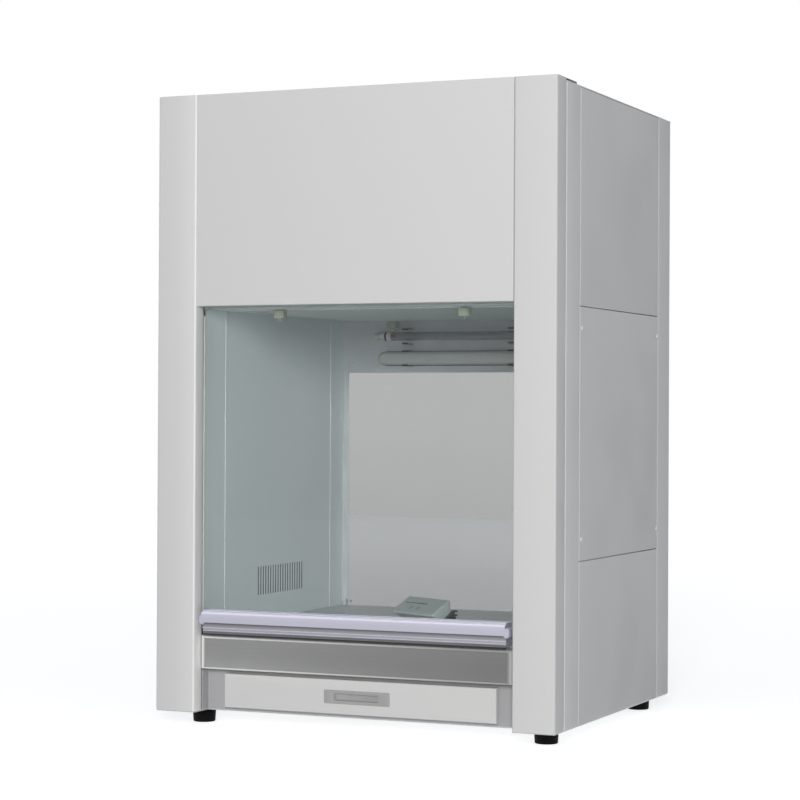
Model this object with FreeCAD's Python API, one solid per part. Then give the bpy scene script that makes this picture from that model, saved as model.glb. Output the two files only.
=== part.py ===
import FreeCAD, Part
import math
import os
from FreeCAD import Vector

# Bench-top laminar flow cabinet, millimetres. X to the right, Y to the back, Z up.
# The origin is on the bench, under the middle of the cabinet.

# Body
cabinet_width = 700.0
cabinet_depth = 590.0
sheet = 1.5              # steel sheet of the body
seam = 0.5               # visible gap between neighbouring panels
fold = 12.0              # depth of a panel's folded edge
bend_radius = 2.5        # outer radius of the posts' bends
post_face = 71.0         # width of a front post seen from the front
post_side = 43.0         # depth of a front post seen from the side
post_return = 26.0       # inner return of a front post, up to the sash track
cover_depth = 65.0       # strip behind the front post that covers the weight channel
cover_fold = 8.0
rear_post_side = 69.5
rear_post_face = 71.0
roof_drop = 3.5          # the roof lies this much lower than the tops of the front posts

# Heights, counted from the underside of the posts
base_plate = 2.0
foot_height = 25.0
worktop_level = 133.0
chamber_height = 529.0
fascia_lift = 3.0        # fascia's lower edge above the ceiling
service_low = 258.5      # lower edge of the screwed side panel
service_height = 403.5
lamp_band = 95.0         # between the rear window and the ceiling

# Feet
foot_radius = 20.0
foot_taper = 1.5
foot_from_side = 45.0
foot_from_front = 86.0
foot_from_back = 32.0

# Sash, its track and its balance
glass = 5.0
glass_play = 1.5         # air between the glass and each wall of the track
track_wall = 1.2
track_depth = 12.0
glass_grip = 5.0         # how far the glass reaches into the track
glass_overlap = 25.0     # glass above the fascia's lower edge when it is shut
glass_in_rail = 5.0      # lower edge of the glass above the rail's underside
glide_low = 30.0         # lower end of the glide, above the worktop
glide_lug_top = 70.0     # cable lug's top, above the worktop
glide_lug_height = 20.0
glide_from_top = 40.0
glide_side = 1.8         # glide's edge short of the cable's line
top_bar_inset = 8.0
top_bar_wall = 2.0
top_bar_grip = 14.0
top_bar_top = 3.0
clear = 0.3              # seat clearance between pieces that slide
cable_radius = 0.75
cable_socket = 12.0      # how deep the cable goes into the weight
cable_in_track = 10.0    # cable's distance from the track's mouth
pulley_radius = 18.0     # to the cable's centre line
pulley_rim = 2.5
pulley_width = 6.0
axle_radius = 3.0
axle_play = 0.05
cable_play = 0.05
groove_play = 0.1        # between the cable and the pulley's groove
groove_lip = 1.0
cheek = 2.0              # pulley bracket's sheet
cheek_below = 5.0        # bracket below the axle
cheek_side = 4.2         # bracket's edge short of the cable's line
pulley_drop = 29.0       # pulley's axle below the top of the post
weight_width = 20.0
weight_depth = 42.0
weight_length = 420.0
weight_drop = 19.0       # top of the weight below the pulley's rim, sash shut
weight_edge = 3.0
track_below_pulley = 4.0
track_below_roof = 6.0

# Sash rail
rail_gap = 12.5          # space between the rail's end and the post
rail_low = 130.0
rail_height = 36.5
rail_lip = 7.3           # glass clamp above the grip
rail_strip = 12.2        # recessed strip below the grip
grip_setback = 1.5
lip_setback = 7.0
strip_setback = 8.0
end_cap = 6.5
cap_depth = 22.5
cap_edge = 4.0
rail_behind = 2.3        # rail's wall behind the glass
rail_wall = 2.0
grip_edge = 3.0
lip_edge = 2.0
strip_edge = 1.5

# Worktop
worktop_sheet = 1.2
worktop_front = 40.0     # step behind the sash rail, counted from the front
apron_top = 124.0
apron_height = 56.0
apron_setback = 15.0
apron_radius = 6.0

# Base and drawer
base_front_setback = 48.0
base_front_height = 66.0
drawer_margin = 38.5     # between the post and the drawer's front
drawer_low = 5.0
drawer_height = 56.0
drawer_proud = 14.0
drawer_depth = 420.0
drawer_sheet = 1.2
drawer_edge = 2.0
opening_rim = 12.0       # drawer front over the edge of its opening
opening_play = 3.0       # the opening above and below the tray
opening_side = 4.0       # the opening beside the drawer's slide
tray_inset = 6.0         # tray lower and shallower than the front on each side
runner_space = 8.7       # between the tray's side and the runner's web
runner_short = 20.0      # runner shorter than the drawer
slide_height = 13.4
slide_setback = 4.0      # slide's end behind the start of its hollow
pull_width = 116.0
pull_height = 22.0
pull_proud = 1.5
pull_edge = 1.0
pull_rim = 3.0           # bezel over the edge of its hole
pocket_width = 78.0
pocket_height = 11.0
pocket_depth = 5.0
pocket_floor = 1.5

# Side liner and its return grille
slot_count = 19
slot_pitch = 9.5
slot_width = 4.0
slot_height = 50.0
slots_from_front = 232.0 # to the first slot's centre
slot_low = 174.5
groove = 1.2
groove_depth = 0.6

# Rear of the chamber
rear_liner_inset = 13.0  # rear liner's face, counted from the back
liner_sheet = 1.0
window_edge = 10.0       # rear liner seen beside the window
window_hold = 8.0        # glass hidden behind the liner
window_rim = 4.0         # outer frame's opening past the liner's, so that it stays out of sight

# Ceiling, diffuser and filter
diffuser_sheet = 1.2
diffuser_side = 31.0     # from the side liner to the diffuser
diffuser_front = 84.0    # from the front
diffuser_back = 33.0     # from the rear liner
diamond_pitch = 60.0
diamond_row = 16.0
diamond_bar = 6.0
clip_size = 18.0
clip_drop = 15.0
clip_spread = 165.0      # from the middle to a clip
clip_corner = 2.0
gasket_height = 5.0
gasket_width = 12.0
filter_side = 17.0
filter_front = 60.0
filter_back = 9.0
filter_height = 70.0
filter_wall = 12.0
pleat_pitch = 16.0
pleat_sheet = 1.0
pleat_margin = 3.0       # between the pleats and the frame's upper and lower edges
plenum_height = 36.0

# Blower
impeller_radius = 65.0
impeller_ring = 52.0
impeller_width = 74.0
impeller_sheet = 1.5
blade_in_sheet = 0.5
hub_radius = 11.0
hub_length = 14.0
blade_count = 24
blade_sweep = 11.0       # degrees from the blade's root to its tip
blade_thickness = 1.3    # degrees of arc
scroll_gap = 35.0        # between the impeller and the widest part of the scroll
scroll_step = 7.0        # the scroll's radius shrinks by this each quarter turn
scroll_half_width = 50.0
scroll_sheet = 1.2
scroll_rise = 104.0      # impeller's axle above the fan deck
tongue = 32.0            # outlet's near wall from the axle
blower_inlet = 48.0
blower_inlet_rim = 6.0
shaft_radius = 4.0
shaft_play = 0.05
shaft_in_hub = 30.0
shaft_in_motor = 25.0
shaft_bore = 30.0
shaft_hole = 12.0
motor_radius = 38.0
motor_length = 54.0
motor_bell = 8.0         # tapered end of the motor
motor_flange = 45.0
motor_flange_sheet = 4.0
fin_inset = 14.0
fin_pitch = 8.0
fin_count = 4
fin_gap = 3.0
fin_depth = 2.0
blower_from_front = 300.0
roof_clearance = 30.3    # air above the scroll

# Roof intake
intake_width = 300.0
intake_depth = 200.0
intake_rim = 12.0
intake_sheet = 2.0
intake_corner = 6.0
louvre_count = 12
louvre_width = 6.0
prefilter_height = 12.0

# Lamps
lamp_middle = -39.0      # middle of both lamps, from the cabinet's middle
lamp_stand = 22.0        # lamp's axis in front of the rear liner
uv_drop = 29.0           # slim lamp's axis below the ceiling
uv_radius = 8.0
uv_length = 324.0
uv_cap = 12.0
uv_cap_step = 0.4        # glass thinner than the caps
uv_pin_radius = 1.2
uv_pin_length = 6.0
uv_pin_from_middle = 2.4
holder_length = 24.0
holder_overlap = 6.0     # lampholder inwards of the lamp's end
holder_step = 0.5        # lampholder thinner than the lamp's caps
holder_taper = 3.0
holder_foot = 14.0
holder_foot_half = 6.0
holder_foot_inset = 4.0
pin_hole_play = 0.2
pin_hole_extra = 0.5
pill_drop = 69.3         # rounded lamp's axis below the ceiling
pill_height = 25.3
pill_length = 324.0
pill_edge = 5.0
lamp_clip_offset = 104.0 # from the lamps' middle
clip_width = 12.0
clip_sheet = 1.6
clip_half = 14.5
clip_lip = 3.0
clip_reach = 4.0         # lamp clips in front of the lamps' face

# Control box on the worktop
box_width = 118.0
box_depth = 42.0
box_front = 13.0
box_back = 36.0
box_crown = 5.0          # flat part at the back of the box's top
box_undercut = 16.0      # the foot of the box's front lies this far behind its nose
box_edge = 3.0
box_offset = -25.0
box_from_front = 357.0
box_turn = -30.0
key_radius = 4.0
key_travel = 1.0
key_height = 4.0
key_proud = 1.0
key_spacing = 20.0
key_offset = -17.0       # first key, from the box's middle
key_along = 14.0         # keys' distance up the slope
slit_offset = -48.0      # slit's left end, from the box's middle
slit_length = 63.0
slit_along = 27.0
slit_width = 2.4
slit_depth = 1.5
hook_reach = 12.5        # fork's tips to the right of the box's end
hook_foot_reach = 8.0
hook_root = 5.0          # fork's notch begins this far from the box's end
hook_front = 2.0         # hook's ends behind the box's middle
hook_back = 24.0
hook_flat = 1.5          # flat top at its back
hook_low = 3.0           # heights above the worktop: underside, prongs and top
hook_prong_low = 10.0
hook_notch_low = 13.0
hook_notch_top = 16.5
hook_top = 19.5

# Screws and power inlet
screw_radius = 3.8
screw_head = 2.2
screw_inset = 8.0
screw_from_edge = 35.0
roof_screw_inset = 9.0
roof_screw_from_front = 333.0
roof_screw_from_back = 60.0
back_screw_inset = 20.0
frame_screw_up = 30.0
inlet_width = 48.0
inlet_height = 28.0
inlet_depth = 22.0
inlet_sheet = 2.0
inlet_corner = 3.0
inlet_rim_x = 4.0
inlet_rim_z = 3.0
mouth_width = 24.0
mouth_height = 16.0
mouth_depth = 15.0
pin_width = 2.0
pin_height = 4.0
pin_spread = 7.0
pin_length = 12.0
earth_pin_up = 3.0
inlet_from_side = 150.0
inlet_up = 45.0          # power inlet's middle above the lower edge of the upper back panel

# Places that follow from the sizes
half_width = cabinet_width / 2
front = -cabinet_depth / 2
back = cabinet_depth / 2
sole = foot_height + base_plate
inner = half_width - post_face
span = inner - seam
worktop_top = sole + worktop_level
ceiling = worktop_top + chamber_height
fascia_low = ceiling + fascia_lift
gasket_low = ceiling + sheet
filter_low = gasket_low + gasket_height
filter_top = filter_low + filter_height
deck_top = filter_top + plenum_height + sheet
axle_level = deck_top + scroll_rise
scroll_large = impeller_radius + scroll_gap
scroll_top = axle_level + scroll_large - scroll_step / 2 + scroll_sheet
roof_low = scroll_top + roof_clearance
roof_top = roof_low + sheet
top = roof_top + roof_drop
side_back = back - rear_post_side
glass_low = sole + rail_low + glass_in_rail
glass_top = fascia_low + glass_overlap
glass_mid = front + post_return + seam + track_wall + glass_play + glass / 2
track_half = glass / 2 + glass_play
track_front = glass_mid - track_half - track_wall
track_back = glass_mid + track_half + track_wall
liner_front = track_back + seam
rear_liner_face = back - rear_liner_inset
window_height = chamber_height - lamp_band
window_front = rear_liner_face + liner_sheet
window_back = window_front + glass
cable_x = inner + cable_in_track
pulley_x = cable_x + pulley_radius
pulley_z = top - pulley_drop
pulley_outer = pulley_radius + pulley_rim
weight_x = pulley_x + pulley_radius
weight_top = pulley_z - pulley_outer - weight_drop
rail_half = inner - rail_gap
drawer_half = inner - drawer_margin
drawer_middle = sole + drawer_low + drawer_height / 2
tray_half = drawer_half - opening_rim - opening_side - runner_space
drawer_face = front + base_front_setback - clear - drawer_proud
service_top = sole + service_low + service_height
uv_level = ceiling - uv_drop
pill_level = ceiling - pill_drop
inlet_level = fascia_low + inlet_up
inlet_x = half_width - inlet_from_side


def block(x0, x1, y0, y1, z0, z1):
    """A straight block between two corners."""
    return Part.makeBox(x1 - x0, y1 - y0, z1 - z0, Vector(x0, y0, z0))


def rod(start, direction, radius, length):
    """A round bar from a point along a direction."""
    return Part.makeCylinder(radius, length, Vector(*start), Vector(*direction))


def mirrored(shape):
    """The same piece on the other side of the cabinet."""
    return shape.mirror(Vector(0, 0, 0), Vector(1, 0, 0))


def upright(points, z0, z1):
    """A profile in plan, points as (x, y), carried up from z0 to z1."""
    corners = [Vector(x, y, z0) for x, y in points]
    return Part.Face(Part.makePolygon(corners + corners[:1])).extrude(Vector(0, 0, z1 - z0))


def crosswise(points, x0, x1):
    """A profile seen from the side, points as (y, z), carried across from x0 to x1."""
    corners = [Vector(x0, y, z) for y, z in points]
    return Part.Face(Part.makePolygon(corners + corners[:1])).extrude(Vector(x1 - x0, 0, 0))


def folded(path, thickness):
    """Closed outline of a sheet folded along a right-angled path, with the sheet to the path's left."""
    steps = [(b[0] - a[0], b[1] - a[1]) for a, b in zip(path, path[1:])]
    normals = [(-dy / math.hypot(dx, dy), dx / math.hypot(dx, dy)) for dx, dy in steps]
    shifts = [normals[0]] + [(a[0] + b[0], a[1] + b[1]) for a, b in zip(normals, normals[1:])] + [normals[-1]]
    inside = [(p[0] + s[0] * thickness, p[1] + s[1] * thickness) for p, s in zip(path, shifts)]
    return list(path) + inside[::-1]


def tray(x0, x1, y0, y1, z0, z1, thickness, open_side):
    """A flat panel with its four edges folded towards the open side, such as "+x" or "-y"."""
    low = [x0, y0, z0]
    high = [x1, y1, z1]
    inside_low = [v + thickness for v in low]
    inside_high = [v - thickness for v in high]
    axis = "xyz".index(open_side[1])
    if open_side[0] == "+":
        inside_high[axis] = high[axis] + thickness
    else:
        inside_low[axis] = low[axis] - thickness
    hollow = block(inside_low[0], inside_high[0], inside_low[1], inside_high[1],
                   inside_low[2], inside_high[2])
    return block(x0, x1, y0, y1, z0, z1).cut(hollow)


def rounded(shape, radius, chosen):
    """The shape with a fillet on each edge whose middle and direction pass the test."""
    edges = []
    for edge in shape.Edges:
        direction = edge.Vertexes[-1].Point - edge.Vertexes[0].Point
        if direction.Length > 0:
            direction.normalize()
        if chosen(edge.BoundBox.Center, direction):
            edges.append(edge)
    return shape.makeFillet(radius, edges)


def near(a, b):
    """Whether two lengths are the same within a hundredth."""
    return abs(a - b) < 0.01


def export(name, *shapes):
    """Writes one named sub-part, as one solid or as a group of separate solids."""
    solids = [solid for shape in shapes for solid in shape.Solids]
    shape = solids[0] if len(solids) == 1 else Part.makeCompound(solids)
    shape.exportStep("parts/" + name + ".step")


def export_pair(name, right):
    """Writes a right-hand piece and its mirror image as two sub-parts."""
    export(name + "_right", right)
    export(name + "_left", mirrored(right))


def front_post():
    """Folded corner post: return beside the sash, broad face, side and a closing lip."""
    path = [(inner, front + post_return), (inner, front), (half_width, front),
            (half_width, front + post_side), (half_width - fold, front + post_side)]
    column = upright(folded(path, sheet), sole, top)
    column = rounded(column, bend_radius, lambda m, d: near(abs(d.z), 1) and near(m.y, front))
    cap = block(inner + sheet, half_width - sheet, front + sheet, front + post_side - sheet, top - sheet, top)
    return column.fuse(cap)


def channel_cover():
    """Strip that closes the weight channel behind the front post."""
    start = front + post_side + seam
    end = start + cover_depth - seam
    path = [(half_width - cover_fold, start), (half_width, start), (half_width, end),
            (half_width - cover_fold, end)]
    return upright(folded(path, sheet), sole, roof_low)


def rear_post():
    """Folded rear corner post."""
    start = side_back + seam
    path = [(half_width - fold, start), (half_width, start), (half_width, back),
            (half_width - rear_post_face, back), (half_width - rear_post_face, back - fold)]
    column = upright(folded(path, sheet), sole, roof_low)
    corner = (half_width, back)
    return rounded(column, bend_radius, lambda m, d: near(m.x, corner[0]) and near(m.y, corner[1]))


def side_panel(z0, z1):
    """One of the three outer panels of a side, with folded edges."""
    y0 = front + post_side + cover_depth + seam
    return tray(half_width - fold, half_width, y0, side_back, z0, z1, sheet, "-x")


def side_liner():
    """Inner wall of the chamber, with a ledge under the worktop, a folded top edge, two vertical
    seams and the return grille's upright slots."""
    z0 = worktop_top - worktop_sheet - sheet
    z1 = ceiling + fold
    y1 = rear_liner_face - seam
    wall = block(inner, inner + sheet, liner_front, y1, z0, z1)
    ledge = block(inner - fold, inner, front + worktop_front + worktop_sheet + seam, y1, z0, z0 + sheet)
    top_fold = block(inner, inner + fold, track_back + fold, y1, z1 - sheet, z1)
    wall = wall.fuse([ledge, top_fold])
    for y in (front + post_side + cover_depth, side_back):
        line = block(inner, inner + groove_depth, y - groove / 2, y + groove / 2, worktop_top, ceiling)
        wall = wall.cut(line)
    slot = block(inner, inner + sheet, -slot_width / 2, slot_width / 2, 0, slot_height)
    slots = []
    for number in range(slot_count):
        place = Vector(0, front + slots_from_front + number * slot_pitch, sole + slot_low)
        slots.append(slot.translated(place))
    return wall.cut(slots)


def fascia():
    """Upper front panel between the posts, with a deeper fold along its lower edge."""
    panel = tray(-span, span, front, front + fold, fascia_low, top, sheet, "+y")
    lower_fold = block(-span, span, front, front + post_return - sheet, fascia_low, fascia_low + sheet)
    return panel.fuse(lower_fold)


def top_cover():
    """Roof sheet on the posts and side panels, with the intake opening."""
    y0 = front + post_side + seam
    sheet_top = block(-half_width, half_width, y0, back, roof_low, roof_top)
    ledge = block(-span, span, front + fold + seam, y0, roof_low, roof_top)
    inside_x = intake_width / 2 - intake_rim
    inside_y = intake_depth / 2 - intake_rim
    middle = front + blower_from_front
    hole = block(-inside_x, inside_x, middle - inside_y, middle + inside_y, roof_low, roof_top)
    return sheet_top.fuse(ledge).cut(hole)


def intake_grille():
    """Louvred plate over the roof's intake."""
    middle = front + blower_from_front
    x, y = intake_width / 2, intake_depth / 2
    plate = block(-x, x, middle - y, middle + y, roof_top, roof_top + intake_sheet)
    first = middle - y + intake_rim + louvre_width
    pitch = (2 * (y - intake_rim) - 2 * louvre_width) / (louvre_count - 1)
    slots = []
    for number in range(louvre_count):
        at = first + number * pitch
        slots.append(block(intake_rim - x, x - intake_rim, at - louvre_width / 2, at + louvre_width / 2,
                           roof_top, roof_top + intake_sheet))
    return rounded(plate, intake_corner, lambda m, d: near(abs(d.z), 1)).cut(slots)


def prefilter():
    """Coarse filter pad under the roof's intake."""
    middle = front + blower_from_front
    return block(-intake_width / 2, intake_width / 2, middle - intake_depth / 2, middle + intake_depth / 2,
                 roof_low - prefilter_height, roof_low)


def fan_deck():
    """Plenum hood on the filter, with the blower's outlet in its top."""
    x = span - filter_side
    hood = tray(-x, x, front + filter_front, rear_liner_face - filter_back, filter_top, deck_top, sheet, "-z")
    middle = front + blower_from_front
    outlet = block(-scroll_half_width, scroll_half_width, middle + tongue,
                   middle + scroll_large + scroll_step / 2, deck_top - sheet, deck_top)
    return hood.cut(outlet)


def scroll_outline(extra):
    """Closed outline of the scroll, (y, z) about the impeller's axle: three quarter arcs that shrink
    by the same step, then the tongue and the outlet down to the deck. Extra is added all round."""
    half = scroll_step / 2
    edges = []
    radius = scroll_large + extra
    centres = [(half, -half), (half, half), (-half, half)]
    points = [(half + radius, -scroll_rise), (half + radius, -half)]
    edges.append(Part.makeLine(Vector(0, *points[0]), Vector(0, *points[1])))
    last = points[1]
    for turn, (cy, cz) in enumerate(centres):
        r = radius - turn * scroll_step
        ends = []
        for angle in (45 + 90 * turn, 90 + 90 * turn):
            ends.append((cy + r * math.cos(math.radians(angle)), cz + r * math.sin(math.radians(angle))))
        edges.append(Part.Arc(Vector(0, *last), Vector(0, *ends[0]), Vector(0, *ends[1])).toShape())
        last = ends[1]
    corner = (tongue - extra, last[1])
    foot = (tongue - extra, -scroll_rise)
    for point in (corner, foot, points[0]):
        edges.append(Part.makeLine(Vector(0, *last), Vector(0, *point)))
        last = point
    return Part.Face(Part.Wire(edges))


def blower_housing():
    """Sheet metal scroll, open downwards, with an inlet ring and, across from it, the shaft's hole."""
    half = scroll_half_width
    outside = scroll_outline(scroll_sheet).translated(Vector(-half - scroll_sheet, 0, 0))
    outside = outside.extrude(Vector(2 * (half + scroll_sheet), 0, 0))
    inside = scroll_outline(0).translated(Vector(-half, 0, 0)).extrude(Vector(2 * half, 0, 0))
    housing = outside.cut(inside)
    ring = rod((-half - 3 * scroll_sheet, 0, 0), (1, 0, 0), blower_inlet + blower_inlet_rim, 2 * scroll_sheet)
    inlet = rod((-half - 3 * scroll_sheet, 0, 0), (1, 0, 0), blower_inlet, 4 * scroll_sheet)
    shaft_way = rod((half, 0, 0), (1, 0, 0), shaft_hole, scroll_sheet)
    housing = housing.fuse(ring).cut(inlet).cut(shaft_way)
    return housing.translated(Vector(0, front + blower_from_front, axle_level))


def blower_motor():
    """Motor on the scroll's side: flange, finned can, end bell and the shaft's bearing bore."""
    x0 = scroll_half_width + scroll_sheet
    can_end = Vector(x0 + motor_length, 0, 0)
    bell = Part.makeCone(motor_radius, motor_radius - motor_bell, motor_bell, can_end, Vector(1, 0, 0))
    can = rod((x0, 0, 0), (1, 0, 0), motor_radius, motor_length).fuse(bell)
    body = can.fuse(rod((x0, 0, 0), (1, 0, 0), motor_flange, motor_flange_sheet))
    for number in range(fin_count):
        start = (x0 + fin_inset + number * fin_pitch, 0, 0)
        ring = rod(start, (1, 0, 0), motor_radius, fin_gap)
        body = body.cut(ring.cut(rod(start, (1, 0, 0), motor_radius - fin_depth, fin_gap)))
    bore = rod((x0, 0, 0), (1, 0, 0), shaft_radius + shaft_play, shaft_bore)
    return body.cut(bore).translated(Vector(0, front + blower_from_front, axle_level))


def blade():
    """One forward curved blade, an arc between the ring's bore and its rim, in the (y, z) plane."""
    def at(radius, degrees):
        turn = math.radians(degrees)
        return Vector(0, radius * math.cos(turn), radius * math.sin(turn))
    middle = (impeller_ring + impeller_radius) / 2
    stations = [(impeller_ring, 0.0), (middle, blade_sweep * 0.3), (impeller_radius, blade_sweep)]
    lower = [at(r, a) for r, a in stations]
    upper = [at(r, a + blade_thickness) for r, a in stations]
    edges = [Part.Arc(*lower).toShape(), Part.makeLine(lower[2], upper[2]),
             Part.Arc(*reversed(upper)).toShape(), Part.makeLine(upper[0], lower[0])]
    return Part.Face(Part.Wire(edges))


def impeller():
    """Squirrel cage wheel: back disc, front ring, curved blades, hub and shaft."""
    x0, x1 = -impeller_width / 2, impeller_width / 2
    disc = rod((x1 - impeller_sheet, 0, 0), (1, 0, 0), impeller_radius, impeller_sheet)
    ring = rod((x0, 0, 0), (1, 0, 0), impeller_radius, impeller_sheet)
    ring = ring.cut(rod((x0, 0, 0), (1, 0, 0), impeller_ring, impeller_sheet))
    hub = rod((x1 - hub_length, 0, 0), (1, 0, 0), hub_radius, hub_length)
    shaft_start = x1 - shaft_in_hub
    shaft_end = scroll_half_width + scroll_sheet + shaft_in_motor
    shaft = rod((shaft_start, 0, 0), (1, 0, 0), shaft_radius, shaft_end - shaft_start)
    section = blade().translated(Vector(x0 + blade_in_sheet, 0, 0))
    section = section.extrude(Vector(impeller_width - 2 * blade_in_sheet, 0, 0))
    blades = []
    for number in range(blade_count):
        copy = section.copy()
        copy.rotate(Vector(0, 0, 0), Vector(1, 0, 0), 360.0 * number / blade_count)
        blades.append(copy)
    wheel = disc.fuse([ring, hub, shaft] + blades)
    return wheel.translated(Vector(0, front + blower_from_front, axle_level))


def back_panel():
    """Upper back panel, with the power inlet's cut-out."""
    panel = tray(-span, span, back - fold, back, fascia_low, roof_low, sheet, "-y")
    x, z = inlet_width / 2 - inlet_rim_x, inlet_height / 2 - inlet_rim_z
    low, high = inlet_level - z, inlet_level + z
    return panel.cut(block(inlet_x - x, inlet_x + x, back - sheet, back, low, high))


def power_inlet():
    """Power inlet in the upper back panel: flange, body and a recessed mouth with three pins."""
    x, z = inlet_width / 2, inlet_height / 2
    flange = block(inlet_x - x, inlet_x + x, back, back + inlet_sheet, inlet_level - z, inlet_level + z)
    flange = rounded(flange, inlet_corner, lambda m, d: near(abs(d.y), 1))
    x, z = x - inlet_rim_x, z - inlet_rim_z
    body = block(inlet_x - x, inlet_x + x, back - inlet_depth, back, inlet_level - z, inlet_level + z)
    x, z = mouth_width / 2, mouth_height / 2
    mouth_end = back - mouth_depth
    low, high = inlet_level - z, inlet_level + z
    mouth = block(inlet_x - x, inlet_x + x, mouth_end, back + inlet_sheet, low, high)
    socket = flange.fuse(body).cut(mouth)
    x, z = pin_width / 2, pin_height / 2
    for side, lift in ((-pin_spread, 0), (pin_spread, 0), (0, earth_pin_up)):
        at = inlet_x + side
        level = inlet_level + lift
        socket = socket.fuse(block(at - x, at + x, mouth_end, mouth_end + pin_length, level - z, level + z))
    return socket


def rear_liner():
    """Rear wall of the chamber: lamp band above the window and a narrow strip on each side of it."""
    x = span - window_edge
    wall = block(-span, span, rear_liner_face, window_front, worktop_top - worktop_sheet, ceiling + fold)
    return wall.cut(block(-x, x, rear_liner_face, window_front, worktop_top, worktop_top + window_height))


def rear_window():
    """Rear window glass, clamped between the rear liner and the outer frame."""
    x = span - window_edge + window_hold
    return block(-x, x, window_front, window_back, worktop_top - window_hold,
                 worktop_top + window_height + window_hold)


def rear_window_frame():
    """Outer frame behind the window, from the base up to the upper back panel."""
    plate = block(-span, span, back - sheet, back, sole, fascia_low - seam)
    x = span - window_edge + window_rim
    z0, z1 = worktop_top - window_rim, worktop_top + window_height + window_rim
    hole = block(-x, x, window_back, back, z0, z1)
    collar = block(-x - sheet, x + sheet, window_back, back, z0 - sheet, z1 + sheet)
    return plate.fuse(collar).cut(hole)


def ceiling_frame():
    """Ceiling sheet round the diffuser's opening, with upturned edges that carry the filter."""
    y0, y1 = liner_front + seam, rear_liner_face - seam
    frame = tray(-span, span, y0, y1, ceiling, ceiling + fold, sheet, "+z")
    x = span - diffuser_side - clip_size / 2
    y0 = front + diffuser_front + clip_size / 2
    y1 = rear_liner_face - diffuser_back - clip_size / 2
    hole = block(-x, x, y0, y1, ceiling, ceiling + sheet)
    return frame.cut(hole)


def diffuser():
    """Diffuser sheet under the filter, with staggered rows of diamond openings."""
    x = span - diffuser_side
    y0, y1 = front + diffuser_front, rear_liner_face - diffuser_back
    plate = block(-x, x, y0, y1, ceiling - diffuser_sheet, ceiling)
    border = clip_size / 2
    a, b = (diamond_pitch - diamond_bar) / 2, diamond_row - diamond_bar / 2
    columns = int((2 * (x - border) - 2 * a) / diamond_pitch)
    rows = int((y1 - y0 - 2 * border - 2 * b) / diamond_row)
    cuts = []
    for row in range(rows + 1):
        y = (y0 + y1) / 2 + (row - rows / 2) * diamond_row
        count = columns + 1 - row % 2
        for column in range(count):
            cx = (column - (count - 1) / 2) * diamond_pitch
            corners = [(cx - a, y), (cx, y - b), (cx + a, y), (cx, y + b)]
            cuts.append(upright(corners, ceiling - diffuser_sheet, ceiling))
    return plate.cut(cuts)


def diffuser_clips():
    """Four turn clips with their screws, which hold the diffuser up by its front and rear edges."""
    clips = []
    plate = diffuser_sheet
    for y, inward in ((front + diffuser_front, 1), (rear_liner_face - diffuser_back, -1)):
        for x in (-clip_spread, clip_spread):
            half = clip_size / 2
            clip = block(x - half, x + half, y - half, y + half, ceiling - clip_drop, ceiling)
            clip = rounded(clip, clip_corner, lambda m, d: near(abs(d.z), 1))
            rest = block(x - half, x + half, min(y, y + inward * half), max(y, y + inward * half),
                         ceiling - plate, ceiling)
            head = rod((x, y, ceiling - clip_drop - screw_head), (0, 0, 1), screw_radius, screw_head)
            clips += [clip.cut(rest), head]
    return clips


def filter_gasket():
    """Soft ring between the ceiling frame and the filter."""
    x = span - filter_side
    y0, y1 = front + filter_front, rear_liner_face - filter_back
    ring = block(-x, x, y0, y1, gasket_low, filter_low)
    w = gasket_width
    return ring.cut(block(w - x, x - w, y0 + w, y1 - w, gasket_low, filter_low))


def filter_frame():
    """Rigid frame of the fine filter, open above and below."""
    x = span - filter_side
    y0, y1 = front + filter_front, rear_liner_face - filter_back
    w = filter_wall
    frame = block(-x, x, y0, y1, filter_low, filter_top)
    return frame.cut(block(w - x, x - w, y0 + w, y1 - w, filter_low, filter_top))


def filter_media():
    """Pleated filter medium, a thin zigzag sheet between the frame's walls."""
    reach = span - filter_side - filter_wall
    y0, y1 = front + filter_front + filter_wall, rear_liner_face - filter_back - filter_wall
    folds = 2 * int(2 * reach / pleat_pitch)
    step = 2 * reach / folds
    low, high = filter_low + pleat_margin, filter_top - pleat_margin
    slant = pleat_sheet * math.hypot(step, high - low) / step
    lower = [(-reach + n * step, low if n % 2 == 0 else high - slant) for n in range(folds + 1)]
    upper = [(x, z + slant) for x, z in reversed(lower)]
    corners = [Vector(x, y0, z) for x, z in lower + upper]
    return Part.Face(Part.makePolygon(corners + corners[:1])).extrude(Vector(0, y1 - y0, 0))


def uv_lamp():
    """Slim tube lamp with metal end caps and two pins at each end."""
    y, z = rear_liner_face - lamp_stand, uv_level
    length = uv_length - 2 * (holder_length - holder_overlap)
    x0 = lamp_middle - length / 2
    tube = rod((x0 + uv_cap, y, z), (1, 0, 0), uv_radius - uv_cap_step, length - 2 * uv_cap)
    caps = []
    for at, direction in ((x0, 1), (x0 + length, -1)):
        caps.append(rod((at, y, z), (direction, 0, 0), uv_radius, uv_cap))
        for side in (-uv_pin_from_middle, uv_pin_from_middle):
            caps.append(rod((at, y, z + side), (-direction, 0, 0), uv_pin_radius, uv_pin_length))
    return tube.fuse(caps)


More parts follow.
